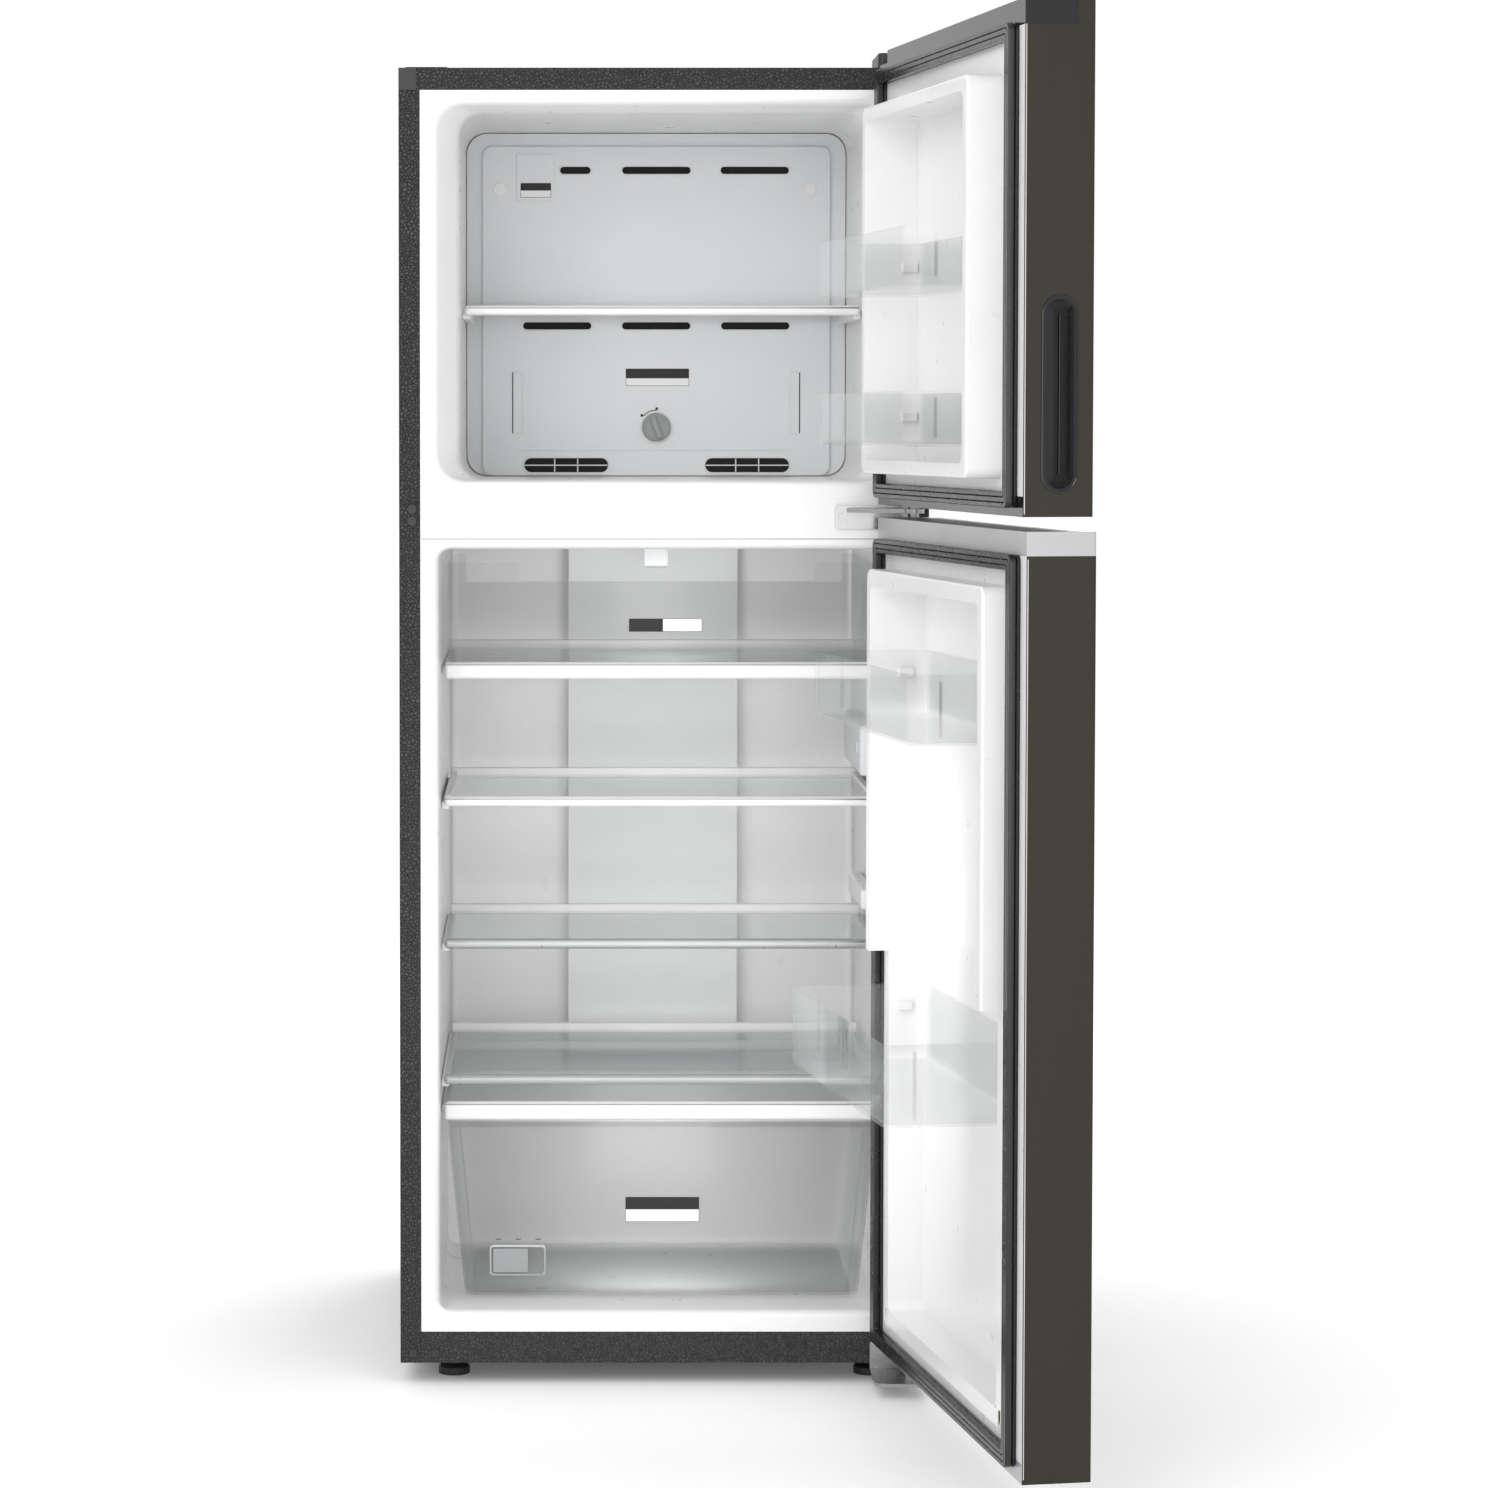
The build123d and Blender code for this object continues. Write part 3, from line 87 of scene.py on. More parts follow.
class Finish:
    """A procedural material around one Principled shader."""

    def __init__(self, name, **constants):
        self.material = bpy.data.materials.new(name)
        self.material.use_nodes = True
        self.tree = self.material.node_tree
        self.shader = self.tree.nodes["Principled BSDF"]
        for socket, value in constants.items():
            self.shader.inputs[socket.replace("_", " ")].default_value = value

    def node(self, kind, settings, inputs, output=0):
        """Adds one node: its settings first, then the values or links of its sockets."""
        made = self.tree.nodes.new(kind)
        for key, value in settings.items():
            if key == "stops":
                for stop, (place, shade) in zip(made.color_ramp.elements, value):
                    stop.position = place
                    stop.color = (shade, shade, shade, 1)
            else:
                setattr(made, key, value)
        for key, value in inputs.items():
            if isinstance(value, Socket):
                self.tree.links.new(value.link, made.inputs[key])
            else:
                made.inputs[key].default_value = value
        return Socket(self, made.outputs[output])

    def feed(self, socket, value):
        self.tree.links.new(value.link, self.shader.inputs[socket])

    def place(self, stretch=(1, 1, 1)):
        """Object coordinates, stretched along each axis."""
        spot = self.node("ShaderNodeTexCoord", {}, {}, output=3)
        return self.node("ShaderNodeMapping", {}, {"Vector": spot, "Scale": stretch})

    def noise(self, scale, detail=2.0, stretch=(1, 1, 1)):
        inputs = {"Vector": self.place(stretch), "Scale": scale, "Detail": detail}
        return self.node("ShaderNodeTexNoise", {}, inputs)

    def shade(self, mask, dark, light):
        """Base colour that runs from dark to light with the mask."""
        ends = {0: mask, 6: (*dark, 1), 7: (*light, 1)}
        mix = self.node("ShaderNodeMix", {"data_type": "RGBA"}, ends, output=2)
        self.feed("Base Color", mix)

    def relief(self, height, depth, strength=1.0):
        """Bump of a given depth in metres."""
        bump = self.node("ShaderNodeBump", {}, {"Height": height, "Distance": depth, "Strength": strength})
        self.feed("Normal", bump)


def dress(finish, *nodes):
    """Gives modelled parts their finish."""
    for name in nodes:
        for held in frame["nodes"][name].material_slots:
            held.material = finish.material


def leather_grain(name, dark, light):
    """Black paint with a rolled-in leather grain: soft pebbles between fine creases, the creases painted
    darker as painted shade.
    """
    paint = Finish(name, Specular_IOR_Level=0.4)
    wander = paint.noise(60, 3)
    wavy = paint.node("ShaderNodeVectorMath", {"operation": "MULTIPLY_ADD"}, {
        0: wander, 1: (0.006, 0.006, 0.006), 2: paint.place(),
    })
    pebbles = paint.node(
        "ShaderNodeTexVoronoi", {"feature": "DISTANCE_TO_EDGE"}, {"Vector": wavy, "Scale": 270.0}
    )
    crease = paint.node("ShaderNodeValToRGB", {"stops": ((0.0, 0.0), (0.22, 1.0))}, {0: pebbles})
    patches = paint.noise(26, 2)
    # The creases are painted darker than the pebbles, as painted shade; the patches are random tone.
    paint.shade(crease * (0.55 + patches * 0.5), dark, light)
    paint.feed("Roughness", 0.62 - crease * 0.14 - patches * 0.1)
    paint.relief(crease + paint.noise(900, 1) * 0.25, 0.0008, 0.9)
    return paint


cabinet_paint = leather_grain("grained_black_paint", (0.005, 0.005, 0.005), (0.044, 0.044, 0.044))
dress(cabinet_paint, "outer_wrapper")

# ---------------------------------------------------------------------------
# Back and base: bare galvanised sheet closes the back, and a painted pan with a
# folded front rail closes the underside. Both are riveted to the wrapper's edges,
# and black mouldings cap its corner and its hinge.


def rolled_metal(name, dark, light, rough, streak=(1, 1, 1), scale=40.0, **constants):
    """Bare or plated metal with a mottle that can be drawn out along one axis."""
    metal = Finish(name, Metallic=1.0, **constants)
    mottle = metal.noise(scale, 4, streak)
    metal.shade(mottle, dark, light)
    metal.feed("Roughness", rough - 0.12 + mottle * 0.24)
    metal.relief(metal.noise(scale * 6, 2, streak), 0.00004)
    return metal


galvanised = rolled_metal("galvanised_sheet", (0.30, 0.31, 0.32), (0.50, 0.51, 0.52), 0.42, scale=70.0)
dress(galvanised, "back_sheet", "machine_cover")
rail_paint = leather_grain("grained_rail_paint", (0.008, 0.008, 0.008), (0.05, 0.05, 0.05))


def moulded(name, dark, light, rough, grain=0.00003, scale=160.0, **constants):
    """Injection-moulded or vacuum-formed plastic with a faint flow mottle and orange peel."""
    plastic = Finish(name, **constants)
    mottle = plastic.noise(9, 3)
    plastic.shade(mottle, dark, light)
    plastic.feed("Roughness", rough - 0.06 + plastic.noise(scale / 4, 2) * 0.12)
    plastic.relief(plastic.noise(scale, 3), grain)
    return plastic


black_plastic = moulded("black_plastic", (0.010, 0.010, 0.010), (0.022, 0.022, 0.022), 0.42)
dress(black_plastic, "cord_gland")
shell_low, shell_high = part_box("outer_wrapper")
middle = (shell_low.x + shell_high.x) / 2
SAME_POINT = 0.000005
SHARP = math.radians(38)
EASED = math.radians(35)
FLAT = math.radians(0.4)


def spot(x, y, z):
    """A point measured in millimetres from the cabinet's middle, its front and the floor."""
    return Vector((middle + x * MM, shell_low.y + y * MM, z * MM))


def piece(name, mesh, body, finish, turn=None):
    """Makes a finished mesh into a piece of the object that rides on a body.

    A mesh drawn on a shut door comes with the turn that opens the door."""
    bmesh.ops.remove_doubles(mesh, verts=mesh.verts, dist=SAME_POINT)
    if turn is not None:
        bmesh.ops.transform(mesh, matrix=turn, verts=mesh.verts)
    bmesh.ops.recalc_face_normals(mesh, faces=mesh.faces)
    for edge in mesh.edges:
        edge.smooth = edge.calc_face_angle(0.0) < SHARP
    for face in mesh.faces:
        face.smooth = True
    data = bpy.data.meshes.new(name)
    mesh.to_mesh(data)
    mesh.free()
    data.materials.append(finish.material)
    made = bpy.data.objects.new(name, data)
    bpy.context.scene.collection.objects.link(made)
    made.modifiers.new("even_shading", "WEIGHTED_NORMAL").keep_sharp = True
    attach(made, body)
    return made


def softened(name, node, body, finish, radius, keep_behind=None):
    """A modelled part with its edges eased: a copy is merged, its flats joined and its edges bevelled.

    Given keep_behind, it starts no nearer than that many millimetres behind the cabinet's front."""
    part = frame["nodes"][node]
    mesh = bmesh.new()
    mesh.from_mesh(part.data)
    bmesh.ops.transform(mesh, matrix=part.matrix_world, verts=mesh.verts)
    bmesh.ops.remove_doubles(mesh, verts=mesh.verts, dist=2 * SAME_POINT)
    bmesh.ops.dissolve_limit(mesh, angle_limit=FLAT, verts=mesh.verts, edges=mesh.edges)
    if keep_behind is not None:
        for vert in mesh.verts:
            vert.co.y = max(vert.co.y, shell_low.y + keep_behind * MM)
    made = piece(name, mesh, body, finish)
    if radius:
        easing = made.modifiers.new("easing", "BEVEL")
        easing.width = radius * MM
        easing.segments = 3
        easing.limit_method = "ANGLE"
        easing.angle_limit = EASED
        made.modifiers.move(1, 0)
    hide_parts(node)


def rounded_block(mesh, low, high, softness, steps=3):
    """Block between two corners in millimetres, with all its edges rounded."""
    size = Vector(high) - Vector(low)
    centre = spot(*((Vector(high) + Vector(low)) / 2))
    place = Matrix.Translation(centre) @ Matrix.Diagonal((*(size * MM), 1))
    made = bmesh.ops.create_cube(mesh, size=1, matrix=place)["verts"]
    if softness:
        bmesh.ops.bevel(
            mesh, geom=list({e for v in made for e in v.link_edges}), affect="EDGES", offset=softness * MM,
            segments=steps, profile=0.5, material=-1,
        )


softened("formed_rail", "base_pan", "cabinet", rail_paint, 0.8)
softened("moulded_corner_cap", "corner_cap", "cabinet", black_plastic, 1.2)
softened("moulded_hinge_cover", "hinge_cover", "cabinet", black_plastic, 1.2)
softened("pressed_top_hinge", "top_hinge", "cabinet", galvanised, 0.5)
# The straps end 0.1 mm inside the foam at the back's lower corners, so they don't show.
straps = bmesh.new()
for side in (-1, 1):
    near, far = sorted((side * 252.6, side * 299.2))
    rounded_block(straps, (near, 622.4, 30.6), (far, 624.2, 246.2), 0.3, 1)
piece("rear_corner_straps", straps, "cabinet", galvanised)

# ---------------------------------------------------------------------------
# Feet and rollers: black nylon. The feet screw up into the front rail, and the
# rollers turn on pins in the pan's rear forks.
dress(black_plastic, "left_foot", "right_foot", "left_roller", "right_roller")

# ---------------------------------------------------------------------------
# Hole plugs: snap-in nylon buttons, white in the white strip and on the freezer
# cover, black with a blind socket where they fill the spare hinge holes.
facing_out = Matrix.Rotation(math.radians(90), 4, "X")


def button(mesh, centre, radius, height, socket):
    """Round plug on a face towards -Y: a domed rim and, on black ones, a blind socket."""
    sides = 32
    made = bmesh.ops.create_cone(
        mesh, cap_ends=True, segments=sides, radius1=radius * MM, radius2=radius * MM, depth=height * MM,
        matrix=Matrix.Translation(centre - Vector((0, height * MM / 2, 0))) @ facing_out,
    )["verts"]
    front = min({f for v in made for f in v.link_faces}, key=lambda f: f.calc_center_median().y)
    bmesh.ops.bevel(
        mesh, geom=list(front.edges), affect="EDGES", offset=height * MM * 0.45, segments=3, profile=0.5,
        material=-1,
    )
    caps = (f for f in mesh.faces if len(f.verts) >= sides)
    front = min(caps, key=lambda f: (f.calc_center_median() - centre).length)
    bmesh.ops.inset_region(mesh, faces=[front], thickness=radius * MM * 0.45, depth=0)
    bmesh.ops.inset_region(mesh, faces=[front], thickness=radius * MM * 0.06, depth=-socket * MM)


white_nylon = moulded("white_nylon", (0.78, 0.78, 0.78), (0.84, 0.84, 0.84), 0.35)
black_buttons = bmesh.new()
for x, z, radius in ((-285.5, 1000.5, 5.5), (-285.5, 987, 5.5), (-285.5, 36, 5.0), (-260.4, 36, 5.0)):
    button(black_buttons, spot(x, 0, z), radius, 1.2, 0.8)
black_plugs = piece("black_hole_plugs", black_buttons, "cabinet", black_plastic)
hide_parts("hole_plugs")
white_buttons = bmesh.new()
cover_face = 345
for x, y, z, radius in (
    (-206, 0, 989.5, 6.0), (-190, cover_face, 1382, 7.5), (187, cover_face, 1382, 7.5),
):
    button(white_buttons, spot(x, y, z), radius, 1.2, 0.15)
piece("white_hole_plugs", white_buttons, "cabinet", white_nylon)

# ---------------------------------------------------------------------------
# Machine compartment: a black-enamelled compressor on rubber grommets, its copper
# circuit, and the drain pan that sits on its warm top.
compressor_enamel = moulded("compressor_enamel", (0.008, 0.008, 0.009), (0.02, 0.02, 0.022), 0.3, scale=300.0)
dress(compressor_enamel, "compressor")
soft_rubber = moulded("grommet_rubber", (0.012, 0.012, 0.012), (0.02, 0.02, 0.02), 0.75, scale=500.0)
dress(soft_rubber, "compressor_grommets")
copper = rolled_metal("drawn_copper", (0.55, 0.24, 0.13), (0.85, 0.43, 0.27), 0.35, scale=90.0)
dress(copper, "refrigerant_pipes")
pan_plastic = moulded("drain_pan_plastic", (0.06, 0.06, 0.06), (0.1, 0.1, 0.1), 0.5)
dress(pan_plastic, "drain_pan")

# ---------------------------------------------------------------------------
# Insulation: polyurethane foamed in place between steel and liner, pale yellow and
# fine-celled. In front it is held back behind the liners' rounded mouths. At the
# back's lower corners, beside the machine cover, nothing covers it and it shows.
foam = moulded("polyurethane_foam", (0.62, 0.5, 0.24), (0.8, 0.68, 0.4), 0.9, grain=0.0004, scale=700.0)
dress(foam, "freezer_door_foam", "fridge_door_foam")
foam_set_back = 14
softened("foamed_walls", "cabinet_foam", "cabinet", foam, 0, foam_set_back)

# ---------------------------------------------------------------------------
# Liners: both compartments and the strip between them are vacuum-formed from
# glossy white sheet plastic.
white_liner = moulded(
    "white_liner", (0.76, 0.76, 0.76), (0.82, 0.82, 0.82), 0.3, grain=0.000004, Coat_Weight=0.2,
    Coat_Roughness=0.15,
)
dress(white_liner, "mullion_cover")
seam_grey = moulded("seam_shadow", (0.32, 0.32, 0.32), (0.38, 0.38, 0.38), 0.6)
upright = Matrix(((1, 0, 0, 0), (0, 0, 1, 0), (0, 1, 0, 0), (0, 0, 0, 1)))


def stack(mesh, rings, lie, first_cap, last_cap, steps=6):
    """Skin over rounded rectangles, each given as two spans, a station and a corner radius in millimetres.

    The rings lie flat and rise along Z, until lie turns them. Every second ring is moved by a hair, as two
    rings in one plane would be joined crosswise."""
    hair = 0.02
    loops = []
    corner = spot(0, 0, 0)
    for number, (across, along, station, radius) in enumerate(rings):
        before = set(mesh.faces)
        size = Matrix.Diagonal(((across[1] - across[0]) / 2, (along[1] - along[0]) / 2, 1, 1 / MM)) * MM
        centre = Vector((sum(across) / 2, sum(along) / 2, station + hair * (number % 2)))
        place = Matrix.Translation(corner) @ lie @ Matrix.Translation(centre * MM) @ size
        made = bmesh.ops.create_grid(mesh, x_segments=1, y_segments=1, size=1, matrix=place)["verts"]
        bmesh.ops.bevel(
            mesh, geom=made, affect="VERTICES", offset=radius * MM, segments=steps, profile=0.5, material=-1
        )
        face = (set(mesh.faces) - before).pop()
        loops.append(list(face.edges))
        if not (number == 0 and first_cap or number == len(rings) - 1 and last_cap):
            bmesh.ops.delete(mesh, geom=[face], context="FACES_ONLY")
    for near, far in zip(loops, loops[1:]):
        bmesh.ops.bridge_loops(mesh, edges=near + far)


def formed_liner(name, node, rings, extras):
    """Vacuum-formed shell: the skin is thickened away from its cavity, then its ledges are added."""
    sheet = 1.4
    mesh = bmesh.new()
    stack(mesh, rings, upright, False, True, 8)
    bmesh.ops.recalc_face_normals(mesh, faces=mesh.faces)
    if max(mesh.faces, key=lambda f: f.calc_center_median().y).normal.y < 0:
        bmesh.ops.reverse_faces(mesh, faces=mesh.faces)
    bmesh.ops.solidify(mesh, geom=mesh.faces, thickness=-sheet * MM)
    for low, high, softness in extras:
        rounded_block(mesh, low, high, softness)
    shell = piece(name, mesh, "cabinet", white_liner)
    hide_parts(node)


def grown(half, low, high, station, radius, by=(0, 0, 0)):
    """One ring of a cavity: its sides, floor and ceiling moved outwards by three amounts."""
    return ((-half - by[0], half + by[0]), (low - by[1], high + by[2]), station, radius)


freezer_mouth = (254, 1033, 1457)
freezer_cell = (231, 1033, 1450)
freezer_ledges = [
    ((side * 226 - 5, 104, 1217.7), (side * 226 + 5, 335, 1227.7), 2.5) for side in (-1, 1)
]
formed_liner("freezer_shell", "freezer_liner", (
    grown(276, 1027, 1473, 0, 0.5),
    grown(*freezer_mouth, 0, 34, (7, 4, 7)),
    grown(*freezer_mouth, 1.0, 32, (4, 2.6, 4)),
    grown(*freezer_mouth, 4.0, 30, (1.2, 0.8, 1.2)),
    grown(*freezer_mouth, 9.0, 28, (-2, 0, -1)),
    grown(*freezer_cell, 30, 26, (6, 0, 2.5)),
    grown(*freezer_cell, 38, 25, (2.2, 0, 1)),
    grown(*freezer_cell, 50, 25),
    grown(*freezer_cell, 485, 25),
    grown(*freezer_cell, 496, 22, (-3, -3, -3)),
    grown(*freezer_cell, 500, 14, (-12, -12, -12)),
), freezer_ledges)

fridge_cell = (255, 85, 955)
wall_parts = [((-262, 371.5, 77), (262, 526, 300), 6), ((238, 180, 522), (254.9, 370, 547), 4)]
for top, near, far in ((666, 82, 390), (501, 82, 359), (347, 59, 409), (820, 102, 460), (314, 73, 351.5)):
    for ledge in (-249.9, 249.9):
        wall_parts.append(((ledge - 4.9, near, top - 14.3), (ledge + 4.9, far, top - 4.3), 2.5))
formed_liner("fridge_shell", "fridge_liner", (
    grown(276, 61, 966, 0, 0.5),
    grown(*fridge_cell, 0, 20, (8, 8, 6)),
    grown(*fridge_cell, 1.0, 18, (5, 5, 4)),
    grown(*fridge_cell, 4.0, 15, (1.6, 1.6, 1.4)),
    grown(*fridge_cell, 10, 12),
    grown(*fridge_cell, 506, 12),
    grown(*fridge_cell, 516, 10, (-3, -3, -3)),
    grown(*fridge_cell, 520, 6, (-12, -12, -12)),
), wall_parts)

# A grey line where the white strip meets the fridge liner is a painted shadow.
seams = bmesh.new()
rounded_block(seams, (-275, -0.08, 966.2), (275, 0.5, 967.4), 0.05, 1)
piece("strip_seam_shadow", seams, "cabinet", seam_grey)

# ---------------------------------------------------------------------------
# Freezer back: a satin moulded cover, screwed to the liner, hides the finned
# evaporator and its fan. Cold air leaves through the slots, each with a raised rim,
# and returns through the two low grilles. Dark sheets behind the slots and grilles,
# and dark lines by the side pockets, are painted shade.
satin_white = moulded("satin_white_moulding", (0.72, 0.73, 0.74), (0.78, 0.79, 0.80), 0.45, scale=420.0)
dress(satin_white, "evaporator_cover", "fan_motor")
softened("icemaker_flap", "icemaker_cover", "cabinet", satin_white, 0.5)
fin_metal = rolled_metal("evaporator_aluminium", (0.55, 0.56, 0.57), (0.8, 0.81, 0.82), 0.35)
dress(fin_metal, "evaporator")
grey_plastic = moulded("grey_plastic", (0.27, 0.275, 0.28), (0.33, 0.335, 0.34), 0.42)
dress(grey_plastic, "evaporator_fan")
# Near-black finish for painted shade: the dark behind the slots and grilles, and the shadow lines.
shade_paint = moulded(
    "painted_shade_dark", (0.004, 0.004, 0.004), (0.008, 0.008, 0.008), 0.85, grain=0.0002, scale=500.0
)
slots = (
    (1404.5, ((-98.5, 18.5), (0, 41.5), (119.5, 41.5))),
    (1216, ((-120.5, 41.5), (0, 41.5), (120.5, 41.5))),
)

# Dark sheets behind the slot rows and the return grilles are painted shade inside the openings.
slot_shade = bmesh.new()
for x, z, wide, high in (
    (0, slots[0][0], 420, 26), (0, slots[1][0], 420, 26), (-109, 1048, 130, 22), (111, 1048, 130, 22),
):
    rounded_block(slot_shade, (x - wide / 2, 348.4, z - high / 2), (x + wide / 2, 350, z + high / 2), 0.4, 1)
piece("slot_shade_sheets", slot_shade, "cabinet", shade_paint)

shadow = bmesh.new()
grille_bars = bmesh.new()
for x in (-109.5, 111):
    stack(grille_bars, (
        ((x - 54, x + 54), (1035.0, 1058.0), 345.2, 11.4),
        ((x - 53.2, x + 53.2), (1035.8, 1057.2), 343.9, 10.6),
        ((x - 51.6, x + 51.6), (1037.4, 1055.6), 343.9, 9.0),
        ((x - 50.8, x + 50.8), (1038.2, 1054.8), 345.2, 8.2),
    ), upright, False, False, 7)
    stack(shadow, (
        ((x - 51, x + 51), (1038.0, 1055.0), 344.95, 8.4),
        ((x - 51, x + 51), (1038.0, 1055.0), 344.75, 8.4),
    ), upright, True, True, 7)
    rounded_block(grille_bars, (x - 50.5, 344.2, 1045.8), (x + 50.5, 344.8, 1047.2), 0.2, 1)
    for bar in (x - 14, x + 14):
        rounded_block(grille_bars, (bar - 0.7, 344.2, 1038.4), (bar + 0.7, 344.8, 1054.6), 0.2, 1)
piece("return_air_shadow", shadow, "cabinet", shade_paint)
piece("return_grilles", grille_bars, "cabinet", satin_white)

relief = bmesh.new()
pocket_lines = bmesh.new()
for side in (-1, 1):
    near, far = sorted((side * 161, side * 176))
    rounded_block(relief, (near - 1, 345.6, 1082), (far + 1, 347.5, 1163), 0.5, 2)
    edge = side * 174.6
    rounded_block(pocket_lines, (edge - 0.6, 344.0, 1085.5), (edge + 0.6, 344.6, 1159.5), 0.15, 1)
    stack(relief, (
        ((near, far), (1084, 1161), 345.1, 3),
        ((near + 0.9, far - 0.9), (1084.9, 1160.1), 344.2, 2.4),
        ((near + 2.0, far - 2.0), (1086, 1159), 344.2, 2),
        ((near + 2.6, far - 2.6), (1086.6, 1158.4), 345.1, 1.6),
    ), upright, False, False, 4)
rounded_block(relief, (-168, 344.0, 1064.5), (168, 345.4, 1066.5), 0.6, 2)
for z, openings in slots:
    for x, half in openings:
        stack(relief, (
            ((x - half - 2.6, x + half + 2.6), (z - 6.9, z + 6.9), 345.2, 6.8),
            ((x - half - 1.8, x + half + 1.8), (z - 6.1, z + 6.1), 344.3, 6.0),
            ((x - half - 0.4, x + half + 0.4), (z - 4.7, z + 4.7), 344.3, 4.6),
            ((x - half, x + half), (z - 4.3, z + 4.3), 345.4, 4.2),
        ), upright, False, False, 6)
piece("pocket_shadow_lines", pocket_lines, "cabinet", shade_paint)
piece("cover_mouldings", relief, "cabinet", satin_white)

# ---------------------------------------------------------------------------
# Rating plates: small printed plates, half dark and half white inside a dark line,
# bonded to the covers and drawers. They are left blank.
print_dark = moulded("printed_dark", (0.006, 0.006, 0.006), (0.012, 0.012, 0.012), 0.6)
print_white = moulded("printed_white", (0.80, 0.80, 0.80), (0.85, 0.85, 0.85), 0.4)


def plate(name, body, low, high, front, dark_share, across):
    """Blank two-tone plate on a face towards -Y: a dark backing, with the white part let into it."""
    rim = 0.45
    backing = bmesh.new()
    rounded_block(backing, (low[0], front - 0.35, low[1]), (high[0], front, high[1]), 0.1, 1)
    piece(name + "_dark", backing, body, print_dark)
    start = [low[0] + rim, low[1] + rim]
    stop = [high[0] - rim, high[1] - rim]
    if across:
        start[0] = low[0] + (high[0] - low[0]) * dark_share
    else:
        stop[1] = high[1] - (high[1] - low[1]) * dark_share
    window = bmesh.new()
    rounded_block(window, (start[0], front - 0.5, start[1]), (stop[0], front - 0.2, stop[1]), 0.08, 1)
    piece(name + "_white", window, body, print_white)


plate("control_plate", "cabinet", (-37, 1143), (40, 1164), cover_face, 0.56, False)
plate("flap_plate", "cabinet", (-165, 1371.5), (-128, 1389), 343.5, 0.52, False)

# ---------------------------------------------------------------------------
# Freezer dial: a grey moulded knob with a raised grip, pressed on the damper's
# shaft, and its printed scale, an arc between two dots.
dial_height = 1093
knob = bmesh.new()
hoops = []
for radius, station in (
    (17.2, 344.6), (17.2, 338.5), (16.4, 337.4), (15.2, 337.0), (13.6, 337.3), (12.6, 338.0),
):
    before = set(knob.edges)
    bmesh.ops.create_circle(
        knob, cap_ends=False, segments=48, radius=radius * MM,
        matrix=Matrix.Translation(spot(0, station, dial_height)) @ facing_out,
    )
    hoops.append([edge for edge in knob.edges if edge not in before])
for near, far in zip(hoops, hoops[1:]):
    bmesh.ops.bridge_loops(knob, edges=near + far)
bmesh.ops.contextual_create(knob, geom=hoops[0])
bmesh.ops.contextual_create(knob, geom=hoops[-1])
grip = bmesh.new()
rounded_block(grip, (-3.4, 333.0, 1078.5), (3.4, 339.0, 1107.5), 1.4)
rounded_block(grip, (-5.6, 336.6, 1079.5), (5.6, 338.6, 1106.5), 0.8)
bmesh.ops.rotate(
    grip, cent=spot(0, 340, dial_height), matrix=Matrix.Rotation(math.radians(-20), 3, "Y"), verts=grip.verts
)
dial = piece("dial_knob", knob, "freezer_dial", grey_plastic)
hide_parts("freezer_dial")
piece("dial_grip", grip, "freezer_dial", grey_plastic)
shaft = bmesh.new()
bmesh.ops.create_cone(
    shaft, cap_ends=True, segments=24, radius1=4 * MM, radius2=4 * MM, depth=14 * MM,
    matrix=Matrix.Translation(spot(0, 349, dial_height)) @ facing_out,
)
rounded_block(shaft, (-18, 354, 1089), (18, 356, 1111), 0.6, 2)
piece("damper_vane", shaft, "freezer_dial", grey_plastic)

scale_marks = bmesh.new()
arc = [(92 + 5.5 * step, 20.5, 1.1, 0.5) for step in range(9)]
end_dots = [(88, 22.5, 1.5, 1.5), (141, 22.5, 1.5, 1.5)]
for turn, reach, wide, high in arc + end_dots:
    x = reach * math.cos(math.radians(turn))
    z = dial_height + reach * math.sin(math.radians(turn))
    rounded_block(scale_marks, (x - wide, 344.8, z - high), (x + wide, 345.05, z + high), 0.1, 1)
piece("dial_scale", scale_marks, "cabinet", print_dark)

# ---------------------------------------------------------------------------
# Fridge back: the moulded air duct panel clipped to the rear wall, the frosted lamp
# lens under the ceiling and the temperature control screwed to the right wall.
duct_white = moulded("duct_panel", (0.74, 0.745, 0.75), (0.8, 0.805, 0.81), 0.4, scale=300.0)
dress(duct_white, "air_duct")


def clear_plastic(name, dark, light, alpha, rough, rise):
    """Clear moulding: nearly gone face on, grey and denser where a wall is seen edge on."""
    clear = Finish(name, Specular_IOR_Level=0.6)
    facing = clear.node("ShaderNodeLayerWeight", {}, {"Blend": 0.3}, output=1)
    clear.shade(facing, light, dark)
    clear.feed("Alpha", alpha + facing ** 2.5 * rise)
    clear.feed("Roughness", rough + clear.noise(30, 2) * 0.04)
    return clear


lens = clear_plastic("lamp_lens_plastic", (0.5, 0.52, 0.55), (0.6, 0.62, 0.64), 0.7, 0.2, 0.3)
dress(lens, "lamp_lens")
softened("control_housing", "control_box", "cabinet", satin_white, 2)
softened("temperature_key", "temperature_button", "temperature_button", satin_white, 0.6)

# ---------------------------------------------------------------------------
# Shelves: tempered glass plates, ground on their edges, held by a moulded trim with a
# bright line in front and another trim behind. They lie on the liner's ledges, and
# all but the chiller shelf and the crisper's cover slide out.
shelf_glass = clear_plastic("shelf_glass", (0.45, 0.50, 0.50), (0.86, 0.89, 0.89), 0.08, 0.02, 0.5)
white_trim = moulded("white_trim", (0.72, 0.72, 0.72), (0.8, 0.8, 0.8), 0.32, Coat_Weight=0.3)
grey_trim = moulded("grey_trim", (0.33, 0.34, 0.34), (0.42, 0.43, 0.43), 0.3, Metallic=0.35)
bright_line = rolled_metal(
    "bright_trim_line", (0.20, 0.20, 0.20), (0.30, 0.30, 0.30), 0.3, (0.05, 1, 1), 90.0
)


